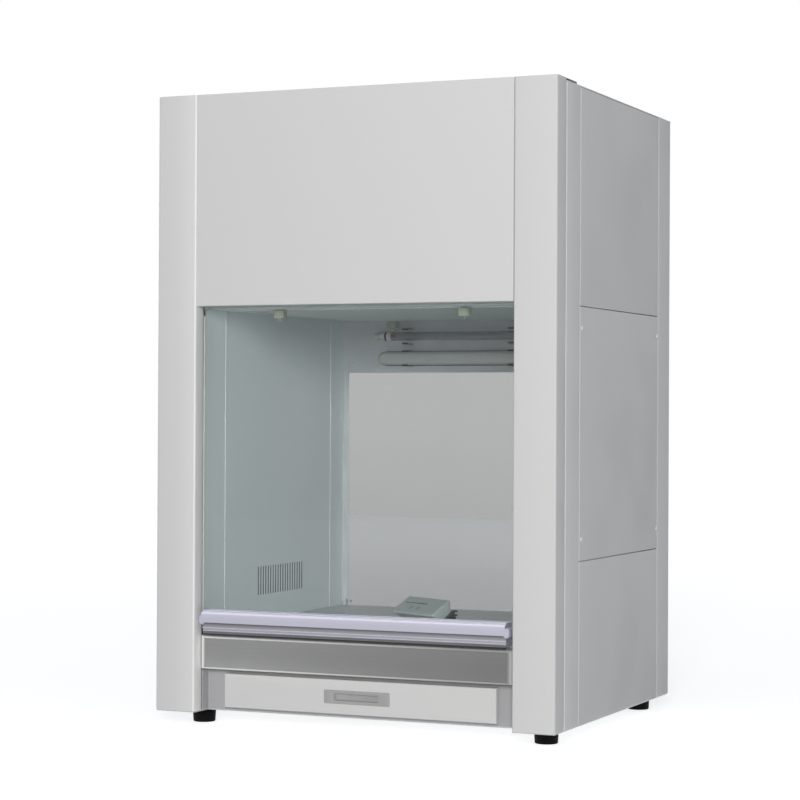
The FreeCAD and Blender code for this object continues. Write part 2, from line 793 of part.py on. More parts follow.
def lampholders():
    """Tapered lampholder at each end of the slim tube, with a foot on the rear liner."""
    y, z = rear_liner_face - lamp_stand, uv_level
    radius = uv_radius - holder_step
    holders = []
    for direction in (-1, 1):
        start = lamp_middle + direction * (uv_length / 2 - holder_length + holder_overlap)
        along = Vector(direction, 0, 0)
        taper_start = start + direction * (holder_length - holder_taper)
        barrel = rod((start, y, z), (direction, 0, 0), radius, holder_length - holder_taper)
        nose = Part.makeCone(radius, radius - holder_taper, holder_taper, Vector(taper_start, y, z), along)
        ends = [start + direction * at for at in (holder_foot_inset, holder_foot_inset + holder_foot)]
        low, high = z - holder_foot_half, z + holder_foot_half
        foot = block(min(ends), max(ends), y, rear_liner_face, low, high)
        holder = barrel.fuse([nose, foot])
        for side in (-uv_pin_from_middle, uv_pin_from_middle):
            hole = rod((start, y, z + side), (direction, 0, 0), uv_pin_radius + pin_hole_play,
                       uv_pin_length + pin_hole_extra)
            holder = holder.cut(hole)
        holders.append(holder)
    return holders


def pill_outline(half_length, half_height, depth_from, depth_to):
    """A bar with fully rounded ends, standing out from the rear liner."""
    straight = half_length - half_height
    z = pill_level
    left, right = lamp_middle - straight, lamp_middle + straight
    bar = block(left, right, depth_from, depth_to, z - half_height, z + half_height)
    for end in (left, right):
        bar = bar.fuse(rod((end, depth_from, z), (0, 1, 0), half_height, depth_to - depth_from))
    return bar.removeSplitter()


def work_lamp():
    """White lamp with rounded ends and a softly rounded face."""
    face = rear_liner_face - lamp_stand
    lamp = pill_outline(pill_length / 2, pill_height / 2, face, rear_liner_face)
    rim = [edge for edge in lamp.Edges if near(edge.BoundBox.YMin, face) and near(edge.BoundBox.YMax, face)]
    return lamp.makeFillet(pill_edge, rim)


def lamp_clips():
    """Spring clips that reach over and under each lamp from the rear liner."""
    clips = []
    out = rear_liner_face - lamp_stand - clip_reach
    t = clip_sheet
    for z in (uv_level, pill_level):
        for at in (-lamp_clip_offset, lamp_clip_offset):
            x0 = lamp_middle + at - clip_width / 2
            x1 = x0 + clip_width
            for side in (-1, 1):
                edge = z + side * clip_half
                arm_end, lip_end = edge - side * t, edge - side * clip_lip
                arm = block(x0, x1, out, rear_liner_face, min(edge, arm_end), max(edge, arm_end))
                lip = block(x0, x1, out, out + t, min(edge, lip_end), max(edge, lip_end))
                clips.append(arm.fuse(lip).removeSplitter())
    return clips


def worktop():
    """Stainless worktop: flat top, a step behind the sash rail and a deep rounded apron in front."""
    t = worktop_sheet
    step_at = front + worktop_front
    apron_at = front + apron_setback
    z_apron = sole + apron_top
    path = [(rear_liner_face - seam, worktop_top), (step_at, worktop_top), (step_at, z_apron),
            (apron_at + apron_radius + t, z_apron)]
    top_sheet = crosswise(folded(path, t), -span, span)
    z0, z1 = z_apron - apron_height, z_apron
    outer = block(-span, span, apron_at, step_at, z0, z1)
    outer = rounded(outer, apron_radius, lambda m, d: near(m.y, apron_at))
    hollow = block(t - span, span - t, apron_at + t, step_at + t, z0 + t, z1 - t)
    hollow = rounded(hollow, apron_radius - t, lambda m, d: near(m.y, apron_at + t))
    underside = block(t - span, span - t, apron_at + fold, step_at + t, z0, z0 + t)
    return outer.cut([hollow, underside]).fuse(top_sheet)


def base_plate_with_runners():
    """Floor of the cabinet between the posts, with the drawer's two runners standing on it."""
    y0, y1 = front + sheet, back - sheet
    x = half_width - sheet
    plate = block(-x, x, y0, y1, foot_height, sole)
    plate = plate.cut(block(-inner, inner, y0, front + base_front_setback, foot_height, sole))
    web = tray_half + runner_space
    level = drawer_middle
    flange = slide_height / 2 + clear
    y2 = front + base_front_setback + sheet
    y3 = y2 + drawer_depth - runner_short
    mouth = tray_half + sheet
    path = [(mouth, level - flange), (web, level - flange), (web, level + flange), (mouth, level + flange)]
    outline = folded(path, -sheet)
    corners = [Vector(px, y2, pz) for px, pz in outline]
    channel = Part.Face(Part.makePolygon(corners + corners[:1])).extrude(Vector(0, y3 - y2, 0))
    stand = block(web, web + sheet, y2, y3, sole, level)
    shoe = block(web, web + fold, y2, y3, sole, sole + sheet)
    runner = channel.fuse([stand, shoe])
    return plate.fuse([runner, mirrored(runner)])


def base_front():
    """Recessed face under the apron, with the drawer's opening and a folded top edge, and a flank at
    each end that runs forward to the post's return."""
    y0 = front + base_front_setback
    z1 = sole + base_front_height
    plate = block(-span, span, y0, y0 + sheet, sole, z1)
    top_fold = block(-span, span, y0, y0 + fold, z1 - sheet, z1)
    flank = block(span - sheet, span, front + post_return + seam, y0, sole, z1)
    x = drawer_half - opening_rim
    rise = drawer_height / 2 - tray_inset + opening_play
    hole = block(-x, x, y0, y0 + sheet, drawer_middle - rise, drawer_middle + rise)
    return [plate.fuse(top_fold).cut(hole), flank, mirrored(flank)]


def drawer_front():
    """Drawer's front, a tray with rounded edges and the pull's cut-out."""
    z0, z1 = sole + drawer_low, sole + drawer_low + drawer_height
    outer = block(-drawer_half, drawer_half, drawer_face, drawer_face + drawer_proud, z0, z1)
    outer = rounded(outer, drawer_edge, lambda m, d: near(m.y, drawer_face))
    t = drawer_sheet
    x = drawer_half - t
    inside = block(-x, x, drawer_face + t, drawer_face + drawer_proud, z0 + t, z1 - t)
    return outer.cut([inside, pull_hole(drawer_face, drawer_face + t)])


def pull_hole(y0, y1):
    """Space of the pull's body in the sheets that it passes through."""
    x, z = pull_width / 2 - pull_rim, pull_height / 2 - pull_rim
    return block(-x, x, y0, y1, drawer_middle - z, drawer_middle + z)


def drawer_tray():
    """Drawer's sheet metal tray with a slide along each side."""
    z0, z1 = sole + drawer_low + tray_inset, sole + drawer_low + drawer_height - tray_inset
    y0 = drawer_face + drawer_sheet
    y1 = y0 + drawer_depth
    body = tray(-tray_half, tray_half, y0, y1, z0, z1, drawer_sheet, "+z")
    level = drawer_middle
    rise = slide_height / 2
    slide = block(tray_half, tray_half + runner_space - clear, y0 + fold + slide_setback, y1 - fold,
                  level - rise, level + rise)
    rise -= sheet
    hollow = block(tray_half + sheet, tray_half + runner_space, y0 + fold, y1, level - rise, level + rise)
    slide = slide.cut(hollow)
    body = body.fuse([slide, mirrored(slide)])
    return body.cut(pull_hole(y0, y0 + drawer_sheet))


def drawer_pull():
    """Moulded recessed pull: a thin bezel on the front and a finger pocket behind it."""
    x, z = pull_width / 2, pull_height / 2
    bezel_face = drawer_face - pull_proud
    floor = drawer_face + pocket_depth
    bezel = block(-x, x, bezel_face, drawer_face, drawer_middle - z, drawer_middle + z)
    bezel = rounded(bezel, pull_edge, lambda m, d: near(m.y, bezel_face))
    x, z = x - pull_rim, z - pull_rim
    body = block(-x, x, drawer_face, floor + pocket_floor, drawer_middle - z, drawer_middle + z)
    x, z = pocket_width / 2, pocket_height / 2
    pocket = block(-x, x, bezel_face, floor, drawer_middle - z, drawer_middle + z)
    return bezel.fuse(body).cut(pocket)


def feet():
    """Four tapered rubber feet."""
    group = []
    foot = Part.makeCone(foot_radius - foot_taper, foot_radius, foot_height)
    x = half_width - foot_from_side
    for y in (front + foot_from_front, back - foot_from_back):
        for side in (-x, x):
            group.append(foot.translated(Vector(side, y, 0)))
    return group


def screw(place, direction):
    """Head of a panel screw, resting on the sheet at its place."""
    return rod(place, direction, screw_radius, screw_head)


def panel_screws():
    """Heads of the screws in the side service panels, the roof and the upper back panel."""
    heads = []
    y0 = front + post_side + cover_depth + seam + screw_inset
    y1 = side_back - screw_inset
    z0, z1 = sole + service_low + screw_from_edge, service_top - screw_from_edge
    for y in (y0, y1):
        for z in (z0, z1):
            heads.append(screw((half_width, y, z), (1, 0, 0)))
            heads.append(screw((-half_width, y, z), (-1, 0, 0)))
    for y in (front + roof_screw_from_front, back - roof_screw_from_back):
        for x in (roof_screw_inset - half_width, half_width - roof_screw_inset):
            heads.append(screw((x, y, roof_top), (0, 0, 1)))
    levels = [fascia_low + back_screw_inset, roof_low - back_screw_inset, sole + frame_screw_up,
              worktop_top + window_height + frame_screw_up]
    for z in levels:
        for x in (screw_inset - span, span - screw_inset):
            heads.append(screw((x, back, z), (0, 1, 0)))
    return heads


def sash_track():
    """Channel in which one edge of the sash runs; its web ends below the pulley."""
    wall_top = roof_low - track_below_roof
    low = worktop_top
    x0, x1 = inner, inner + track_depth
    front_wall = block(x0, x1 + track_wall, track_front, track_front + track_wall, low, wall_top)
    back_wall = block(x0, x1 + track_wall, track_back - track_wall, track_back, low, wall_top)
    web_top = pulley_z - pulley_outer - track_below_pulley
    web = block(x1, x1 + track_wall, track_front, track_back, low, web_top)
    return front_wall.fuse([back_wall, web])


def pulley_bracket():
    """Two cheeks and an axle that hang the pulley under the post's cap."""
    gap = pulley_width / 2 + clear
    x0, x1 = pulley_x - pulley_radius + cheek_side, pulley_x + pulley_radius - cheek_side
    roof = top - sheet
    low = pulley_z - axle_radius - cheek_below
    cheeks = []
    for side in (-1, 1):
        y = glass_mid + side * (gap + cheek / 2)
        cheeks.append(block(x0, x1, y - cheek / 2, y + cheek / 2, low, roof))
    bridge = block(x0, x1, glass_mid - gap, glass_mid + gap, roof - cheek, roof)
    axle = rod((pulley_x, glass_mid - gap, pulley_z), (0, 1, 0), axle_radius, 2 * gap)
    return cheeks[0].fuse([cheeks[1], bridge, axle])


def pulley():
    """Grooved wheel, turned about the axle's line."""
    r, half = pulley_outer, pulley_width / 2
    floor = pulley_radius - cable_radius - groove_play
    bore = axle_radius + axle_play
    lip = half - groove_lip
    profile = [(bore, -half), (r, -half), (r, -lip), (floor, -cable_radius), (floor, cable_radius),
               (r, lip), (r, half), (bore, half)]
    corners = [Vector(pulley_x + a, glass_mid + b, pulley_z) for a, b in profile]
    section = Part.Face(Part.makePolygon(corners + corners[:1]))
    return section.revolve(Vector(pulley_x, glass_mid, pulley_z), Vector(0, 1, 0), 360)


def counterweight():
    """Steel bar with rounded edges that balances one side of the sash, with the cable's hole."""
    x, y = weight_width / 2, weight_depth / 2
    low = weight_top - weight_length
    bar = block(weight_x - x, weight_x + x, glass_mid - y, glass_mid + y, low, weight_top)
    bar = rounded(bar, weight_edge, lambda m, d: near(abs(d.z), 1))
    floor = (weight_x, glass_mid, weight_top - cable_socket)
    socket = rod(floor, (0, 0, 1), cable_radius + cable_play, cable_socket)
    return bar.cut(socket)


def sash_cable():
    """Steel cable from the sash's lug, over the pulley and down into the weight."""
    start = worktop_top + glide_lug_top
    end = weight_top - cable_socket
    rise = rod((cable_x, glass_mid, start), (0, 0, 1), cable_radius, pulley_z - start)
    drop = rod((weight_x, glass_mid, end), (0, 0, 1), cable_radius, pulley_z - end)
    circle = Part.makeCircle(cable_radius, Vector(cable_x, glass_mid, pulley_z), Vector(0, 0, 1))
    section = Part.Face(Part.Wire(circle))
    over = section.revolve(Vector(pulley_x, glass_mid, pulley_z), Vector(0, 1, 0), 180)
    return rise.fuse([over, drop]).removeSplitter()


def sash_glass():
    """Front sash, a sheet of toughened glass held by the track on each side."""
    x = inner + glass_grip
    return block(-x, x, glass_mid - glass / 2, glass_mid + glass / 2, glass_low, glass_top)


def sash_glide():
    """Nylon strip on the glass's edge, with a lug for the cable."""
    z0, z1 = worktop_top + glide_low, glass_top - glide_from_top
    half = track_half - clear
    strip = block(inner + clear, cable_x - glide_side, glass_mid - half, glass_mid + half, z0, z1)
    slit = block(inner, inner + glass_grip, glass_mid - glass / 2, glass_mid + glass / 2, z0, z1)
    lug = block(inner + glass_grip + clear, inner + track_depth - clear, glass_mid - half, glass_mid + half,
                worktop_top + glide_lug_top - glide_lug_height, worktop_top + glide_lug_top)
    return strip.cut(slit).fuse(lug)


def sash_rail():
    """Aluminium handle along the sash's lower edge: glass clamp, round grip and recessed strip."""
    z0 = sole + rail_low
    z1 = z0 + rail_height
    grip_low, grip_top = z0 + rail_strip, z1 - rail_lip
    rear = glass_mid + glass / 2 + rail_behind
    profile = [(rear, z0), (front + strip_setback, z0), (front + strip_setback, grip_low),
               (front + grip_setback, grip_low), (front + grip_setback, grip_top),
               (front + lip_setback, grip_top), (front + lip_setback, z1), (rear, z1)]
    rail = crosswise(profile, -rail_half, rail_half)
    grip, lip, strip = front + grip_setback, front + lip_setback, front + strip_setback
    rail = rounded(rail, grip_edge, lambda m, d: near(abs(d.x), 1) and near(m.y, grip))
    rail = rounded(rail, lip_edge, lambda m, d: near(abs(d.x), 1) and near(m.y, lip) and near(m.z, z1))
    rail = rounded(rail, strip_edge, lambda m, d: near(abs(d.x), 1) and near(m.y, strip) and near(m.z, z0))
    slot = block(-rail_half, rail_half, glass_mid - glass / 2, glass_mid + glass / 2, glass_low, z1)
    hollow = block(-rail_half, rail_half, strip + rail_wall, glass_mid - glass / 2 - rail_wall,
                   z0 + rail_wall, grip_top - rail_wall)
    return rail.cut([slot, hollow])


def rail_end_cap():
    """Rounded plastic cap on the grip's end."""
    z0 = sole + rail_low + rail_strip
    z1 = sole + rail_low + rail_height - rail_lip
    y0 = front + grip_setback
    cap = block(rail_half, rail_half + end_cap, y0, y0 + cap_depth, z0, z1)
    return rounded(cap, cap_edge, lambda m, d: near(abs(d.z), 1) and near(m.x, rail_half + end_cap))


def sash_top_bar():
    """Clamp along the glass's upper edge, hidden behind the fascia."""
    x = inner - top_bar_inset
    half = glass / 2 + top_bar_wall
    low = glass_top - top_bar_grip
    bar = block(-x, x, glass_mid - half, glass_mid + half, low, glass_top + top_bar_top)
    return bar.cut(block(-x, x, glass_mid - glass / 2, glass_mid + glass / 2, low, glass_top))


def place_box(shape):
    """Turns a piece of the control box about its middle and sets it on the worktop."""
    turned = shape.copy()
    turned.rotate(Vector(0, 0, 0), Vector(0, 0, 1), box_turn)
    return turned.translated(Vector(box_offset, front + box_from_front, worktop_top))


def slope_angle():
    """Angle of the control box's face above the worktop, in radians."""
    return math.atan2(box_back - box_front, box_depth - box_crown)


def on_slope(x, along, radius, low, high):
    """A round bar square to the sloping face, from low to high above it, at x and a distance along it."""
    angle = slope_angle()
    start = Vector(x, -box_depth / 2 + along * math.cos(angle), box_front + along * math.sin(angle))
    normal = Vector(0, -math.sin(angle), math.cos(angle))
    return Part.makeCylinder(radius, high - low, start + normal * low, normal)


def control_box():
    """Wedge-shaped control box with an undercut front, a slit window and two round key wells in its
    sloping face."""
    y0, y1 = -box_depth / 2, box_depth / 2
    profile = [(y0 + box_undercut, 0), (y1, 0), (y1, box_back), (y1 - box_crown, box_back), (y0, box_front)]
    body = crosswise(profile, -box_width / 2, box_width / 2)
    body = rounded(body, box_edge, lambda m, d: m.z > clear)
    angle = slope_angle()
    well_floor = key_proud - key_height - key_travel - clear
    wells = [on_slope(key_offset + n * key_spacing, key_along, key_radius + clear, well_floor, box_edge)
             for n in range(2)]
    x, y = slit_offset, slit_width / 2
    slit = block(x, x + slit_length, -y, y, -slit_depth, slit_depth)
    slit.rotate(Vector(0, 0, 0), Vector(1, 0, 0), math.degrees(angle))
    place = Vector(0, y0 + slit_along * math.cos(angle), box_front + slit_along * math.sin(angle))
    slit = slit.translated(place)
    return place_box(body.cut(wells + [slit]))


def key(number):
    """Round key in its well, standing a little proud of the face."""
    at = key_offset + number * key_spacing
    return place_box(on_slope(at, key_along, key_radius, key_proud - key_height, key_proud))


def control_box_hook():
    """Forked hook at the control box's right end, for hanging it up. Its top rises to the back."""
    x, tip = box_width / 2, box_width / 2 + hook_reach
    profile = [(hook_front, hook_low), (hook_back, hook_low), (hook_back, hook_top),
               (hook_back - hook_flat, hook_top)]
    plate = crosswise(profile, x, tip)
    notch = block(x + hook_root, tip, hook_front, hook_back, hook_notch_low, hook_notch_top)
    below = block(x + hook_foot_reach, tip, hook_front, hook_back, hook_low, hook_prong_low)
    return place_box(plate.cut([notch, below]))


os.makedirs("parts", exist_ok=True)

export_pair("front_post", front_post())
export("channel_covers", channel_cover(), mirrored(channel_cover()))
export_pair("rear_post", rear_post())
export_pair("side_panel_lower", side_panel(sole, sole + service_low - seam))
export_pair("service_panel", side_panel(sole + service_low, service_top - seam))
export_pair("side_panel_upper", side_panel(service_top, roof_low))
export_pair("side_liner", side_liner())
export("fascia", fascia())
export("top_cover", top_cover())
export("intake_grille", intake_grille())
export("prefilter", prefilter())
export("fan_deck", fan_deck())
export("blower_housing", blower_housing())
export("blower_motor", blower_motor())
export("impeller", impeller())
export("back_panel", back_panel())
export("power_inlet", power_inlet())
export("rear_liner", rear_liner())
export("rear_window", rear_window())
export("rear_window_frame", rear_window_frame())
export("ceiling_frame", ceiling_frame())
export("diffuser", diffuser())
export("diffuser_clips", *diffuser_clips())
export("filter_gasket", filter_gasket())
export("filter_frame", filter_frame())
export("filter_media", filter_media())
export("uv_lamp", uv_lamp())
export("lampholders", *lampholders())
export("work_lamp", work_lamp())
export("lamp_clips", *lamp_clips())
export("worktop", worktop())
export("base_pan", base_plate_with_runners())
export("base_front", *base_front())
export("feet", *feet())
export("panel_screws", *panel_screws())
export("sash_tracks", sash_track(), mirrored(sash_track()))
export("pulley_brackets", pulley_bracket(), mirrored(pulley_bracket()))
export("control_box", control_box())
export("control_box_hook", control_box_hook())
export("key_fan", key(0))
export("key_lamp", key(1))
export("sash_glass", sash_glass())
export("sash_rail", sash_rail())
export("rail_end_caps", rail_end_cap(), mirrored(rail_end_cap()))
export("sash_top_bar", sash_top_bar())
export("sash_glides", sash_glide(), mirrored(sash_glide()))
export("sash_cables", sash_cable(), mirrored(sash_cable()))
export_pair("counterweight", counterweight())
export_pair("pulley", pulley())
export("drawer_tray", drawer_tray())
export("drawer_front", drawer_front())
export("drawer_pull", drawer_pull())
print("top", round(top, 2), "axle", round(axle_level, 2), "pulley", round(pulley_x, 2), round(pulley_z, 2))
print("glass", round(glass_low, 2), round(glass_top, 2), "drawer face", round(drawer_face, 2))
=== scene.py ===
import math

import bmesh
import bpy
import numpy as np
from mathutils import Matrix, Vector


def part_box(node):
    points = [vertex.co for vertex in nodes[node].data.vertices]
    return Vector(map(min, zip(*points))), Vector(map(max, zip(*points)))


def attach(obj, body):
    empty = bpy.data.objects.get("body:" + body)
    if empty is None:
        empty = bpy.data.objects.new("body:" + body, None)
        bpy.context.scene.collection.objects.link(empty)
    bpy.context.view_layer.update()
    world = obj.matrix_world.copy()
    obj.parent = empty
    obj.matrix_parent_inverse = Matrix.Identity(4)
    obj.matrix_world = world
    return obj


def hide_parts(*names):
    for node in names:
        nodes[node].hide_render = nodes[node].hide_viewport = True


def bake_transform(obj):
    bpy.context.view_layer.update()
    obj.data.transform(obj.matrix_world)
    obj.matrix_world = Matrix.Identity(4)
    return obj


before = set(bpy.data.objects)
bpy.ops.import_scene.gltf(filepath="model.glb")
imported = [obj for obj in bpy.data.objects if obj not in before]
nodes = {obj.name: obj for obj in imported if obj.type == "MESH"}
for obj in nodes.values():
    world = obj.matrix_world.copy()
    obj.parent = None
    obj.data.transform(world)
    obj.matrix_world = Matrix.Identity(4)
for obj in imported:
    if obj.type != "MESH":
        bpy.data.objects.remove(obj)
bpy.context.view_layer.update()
print("frame loaded:", len(nodes), "nodes")


# Camera: place, direction and lens fitted to the cabinet's straight edges in the photograph

photoCamera = {
    "place": (1.5482, -3.6311, 0.5157),
    "look": (-0.4009, 0.9161, 0.0064),
    "up": (-0.002, -0.0079, 1.0),
    "focalPixels": 2306.14,
    "imagePixels": 800,
    "sensor": 36.0,
}


def addCamera(c):
    data = bpy.data.cameras.new("photoCamera")
    data.sensor_width = c["sensor"]
    data.lens = c["sensor"] * c["focalPixels"] / c["imagePixels"]
    data.clip_start, data.clip_end = 0.05, 60.0
    camera = bpy.data.objects.new("photoCamera", data)
    bpy.context.scene.collection.objects.link(camera)
    look = Vector(c["look"]).normalized()
    right = look.cross(Vector(c["up"])).normalized()
    up = right.cross(look)
    turn = Matrix((right, up, -look)).transposed().to_4x4()
    camera.matrix_world = Matrix.Translation(c["place"]) @ turn
    bpy.context.scene.camera = camera


addCamera(photoCamera)


# Shader helpers


def opaque(colour):
    return (*colour, 1)


def feed(tree, node, inputs):
    # each input takes a value, or the socket that drives it
    for name, value in inputs.items():
        if isinstance(value, bpy.types.NodeSocket):
            tree.links.new(value, node.inputs[name])
        else:
            node.inputs[name].default_value = value
    return node


def addNode(tree, kind, inputs=None, **settings):
    node = tree.nodes.new(kind)
    for name, value in settings.items():
        setattr(node, name, value)
    return feed(tree, node, inputs or {})


def maths(tree, operation, a, b, clamp=False):
    return addNode(tree, "ShaderNodeMath", {0: a, 1: b}, operation=operation, use_clamp=clamp).outputs[0]


def mixColour(tree, share, first, second):
    inputs = {"Factor": share, 6: first, 7: second}
    return addNode(tree, "ShaderNodeMix", inputs, data_type="RGBA").outputs[2]


def mapRange(tree, value, start, end, first, last, kind="LINEAR"):
    # first to last while the value runs from start to end
    inputs = {"Value": value, "From Min": start, "From Max": end, "To Min": first, "To Max": last}
    return addNode(tree, "ShaderNodeMapRange", inputs, interpolation_type=kind).outputs[0]


def objectPlace(tree):
    return addNode(tree, "ShaderNodeTexCoord").outputs["Object"]


def seenShare(tree):
    # 1 for rays that show the background itself: from the camera, through glass and off gloss
    path = addNode(tree, "ShaderNodeLightPath").outputs
    share = path["Is Camera Ray"]
    for name in ("Is Glossy Ray", "Is Transmission Ray"):
        share = maths(tree, "MAXIMUM", share, path[name])
    return share


def startMaterial(name, colour, roughness, metallic=0.0, specular=0.5):
    material = bpy.data.materials.new(name)
    material.use_nodes = True
    tree = material.node_tree
    surface = feed(tree, tree.nodes["Principled BSDF"], {
        "Base Color": opaque(colour),
        "Roughness": roughness,
        "Metallic": metallic,
        "Specular IOR Level": specular,
    })
    return material, tree, surface


# Studio: soft warm key from the front right, cool even ambient light, white floor and background

studio = {
    "ambient": (0.126, 0.142, 0.166),
    "keyPlace": (2.75, -7.3, 1.86),
    "keySize": 2.2,
    "keyPower": 405.0,
    "keyColour": (1.0, 0.985, 0.965),
    "topPlace": (0.2, -0.8, 3.4),
    "topSize": 2.4,
    "topPower": 16.0,
    "topColour": (1.0, 1.0, 1.0),
    "aim": (0.0, 0.0, 0.5),
    "floorColour": 0.80,
    "floorRoughness": 0.9,
    "floorSpecular": 0.1,
    "floorGlow": (0.9, 5.0, 0.69, 0.89),
    "floorSize": 14.0,
}


def makeWorld(s):
    world = bpy.data.worlds.new("studioWorld")
    bpy.context.scene.world = world
    world.use_nodes = True
    tree = world.node_tree
    light = mixColour(tree, seenShare(tree), opaque(s["ambient"]), (1, 1, 1, 1))
    feed(tree, tree.nodes["Background"], {"Color": light})


def addArea(name, place, size, power, colour, aim):
    data = bpy.data.lights.new(name, "AREA")
    data.shape, data.size, data.energy, data.color = "DISK", size, power, colour
    lamp = bpy.data.objects.new(name, data)
    bpy.context.scene.collection.objects.link(lamp)
    lamp.location = place
    lamp.rotation_euler = (Vector(aim) - Vector(place)).to_track_quat("-Z", "Y").to_euler()
    lamp.visible_glossy = False


def addFloor(s):
    # the floor glows more with the distance from the cabinet, so that it ends in white
    half = s["floorSize"] / 2
    corners = [(-half, -half, 0), (half, -half, 0), (half, half, 0), (-half, half, 0)]
    mesh = bpy.data.meshes.new("floor")
    mesh.from_pydata(corners, [], [(0, 1, 2, 3)])
    floor = bpy.data.objects.new("floor", mesh)
    bpy.context.scene.collection.objects.link(floor)
    white = [s["floorColour"]] * 3
    material, tree, surface = startMaterial("floorWhite", white, s["floorRoughness"], 0.0, s["floorSpecular"])
    distance = addNode(tree, "ShaderNodeVectorMath", {0: objectPlace(tree)}, operation="LENGTH")
    glow = mapRange(tree, distance.outputs["Value"], *s["floorGlow"])
    light = mixColour(tree, seenShare(tree), (0, 0, 0, 1), glow)
    feed(tree, surface, {"Emission Color": light, "Emission Strength": 1.0})
    mesh.materials.append(material)


makeWorld(studio)
for name in ("key", "top"):
    values = [studio[name + part] for part in ("Place", "Size", "Power", "Colour")]
    addArea(name + "Lamp", *values, studio["aim"])
addFloor(studio)
bpy.context.scene.view_settings.view_transform = "Standard"
print("studio ready")


# Shared shader groups


def newGroup(name, inputs):
    # an input for each value, a vector where the value is a tuple
    tree = bpy.data.node_groups.new(name, "ShaderNodeTree")
    for label, value in inputs.items():
        kind = "NodeSocketVector" if isinstance(value, tuple) else "NodeSocketFloat"
        tree.interface.new_socket(label, in_out="INPUT", socket_type=kind).default_value = value
    return tree, addNode(tree, "NodeGroupInput").outputs


def closeGroup(tree, results):
    for label in results:
        tree.interface.new_socket(label, in_out="OUTPUT", socket_type="NodeSocketFloat")
    addNode(tree, "NodeGroupOutput", results)
    return tree


def placeGroup(tree, group, **inputs):
    return addNode(tree, "ShaderNodeGroup", inputs, node_tree=group).outputs


def noise(tree, **inputs):
    return addNode(tree, "ShaderNodeTexNoise", inputs).outputs["Fac"]


def makeGrainGroup():
    # fine brush lines: noise on coordinates stretched along the grain
    tree, given = newGroup("brushGrain", {"Stretch": (20, 900, 900), "Strength": 0.2})
    inputs = {0: objectPlace(tree), 1: given["Stretch"]}
    stretched = addNode(tree, "ShaderNodeVectorMath", inputs, operation="MULTIPLY").outputs[0]
    lines = noise(tree, Vector=stretched, Scale=1.0, Detail=3.0)
    shift = maths(tree, "MULTIPLY", maths(tree, "SUBTRACT", lines, 0.5), given["Strength"])
    return closeGroup(tree, {"Lines": lines, "Tone": maths(tree, "ADD", shift, 1.0)})


def makeDriftGroup():
    # slow change of tone over a surface, a factor near 1
    tree, given = newGroup("toneDrift", {"Scale": 3.0, "Amount": 0.04})
    slow = noise(tree, Vector=objectPlace(tree), Scale=given["Scale"], Detail=2.0)
    shift = maths(tree, "MULTIPLY", maths(tree, "SUBTRACT", slow, 0.5), given["Amount"])
    return closeGroup(tree, {"Factor": maths(tree, "ADD", maths(tree, "MULTIPLY", shift, 2.0), 1.0)})


def makePeelGroup():
    # orange peel of powder coat, or the fine tooth of moulded plastic, as a height
    tree, given = newGroup("orangePeel", {"Scale": 700.0})
    inputs = {"Vector": objectPlace(tree), "Scale": given["Scale"]}
    coarse = noise(tree, **inputs, Detail=1.0)
    fine = addNode(tree, "ShaderNodeTexVoronoi", {**inputs, "Smoothness": 1.0}, feature="SMOOTH_F1")
    part = maths(tree, "MULTIPLY", fine.outputs["Distance"], 0.4)
    return closeGroup(tree, {"Height": maths(tree, "ADD", coarse, part)})


def makeWearGroup():
    # 1 on rounded edges, where the rounded and the true normal part
    tree, given = newGroup("edgeWear", {"Radius": 0.002, "Gain": 4.0})
    soft = addNode(tree, "ShaderNodeBevel", {"Radius": given["Radius"]}, samples=4).outputs["Normal"]
    sharp = addNode(tree, "ShaderNodeNewGeometry").outputs["True Normal"]
    dot = addNode(tree, "ShaderNodeVectorMath", {0: soft, 1: sharp}, operation="DOT_PRODUCT")
    apart = maths(tree, "SUBTRACT", 1.0, dot.outputs["Value"])
    return closeGroup(tree, {"Mask": maths(tree, "MULTIPLY", apart, given["Gain"], clamp=True)})


def makeSmudgeGroup():
    # wiped marks: distorted noise with a soft threshold, for roughness
    tree, given = newGroup("wipedMarks", {"Scale": 9.0, "Low": 0.0, "High": 0.1})
    marks = noise(tree, Vector=objectPlace(tree), Scale=given["Scale"], Detail=5.0, Distortion=0.6)
    value = mapRange(tree, marks, 0.42, 0.68, given["Low"], given["High"], "SMOOTHSTEP")
    return closeGroup(tree, {"Value": value})


grainGroup = makeGrainGroup()
driftGroup = makeDriftGroup()
peelGroup = makePeelGroup()
wearGroup = makeWearGroup()
smudgeGroup = makeSmudgeGroup()


# Materials. Each starts from one Principled surface; colour, roughness and bump come from the shared groups


def tint(tree, colour, *factors):
    # the colour times each factor
    start = addNode(tree, "ShaderNodeRGB")
    start.outputs[0].default_value = opaque(colour)
    result = start.outputs[0]
    for factor in factors:
        inputs = {0: result, "Scale": factor}
        result = addNode(tree, "ShaderNodeVectorMath", inputs, operation="SCALE").outputs[0]
    return result


def addBump(tree, surface, height, distance):
    bump = addNode(tree, "ShaderNodeBump", {"Height": height, "Distance": distance, "Strength": 1.0})
    feed(tree, surface, {"Normal": bump.outputs["Normal"]})


def fadeAlong(tree, axis, *span):
    # a factor that changes along an axis; span is as in mapRange
    parts = addNode(tree, "ShaderNodeSeparateXYZ", {0: objectPlace(tree)})
    return mapRange(tree, parts.outputs[axis], *span)


def facing(tree, axis, gain):
    # 0 to 1 as the surface turns towards the axis
    normal = addNode(tree, "ShaderNodeNewGeometry").outputs["Normal"]
    parts = addNode(tree, "ShaderNodeSeparateXYZ", {0: normal})
    return maths(tree, "MULTIPLY", parts.outputs[axis], gain, clamp=True)


def gained(tree, share, gain):
    return maths(tree, "ADD", maths(tree, "MULTIPLY", share, gain), 1.0)


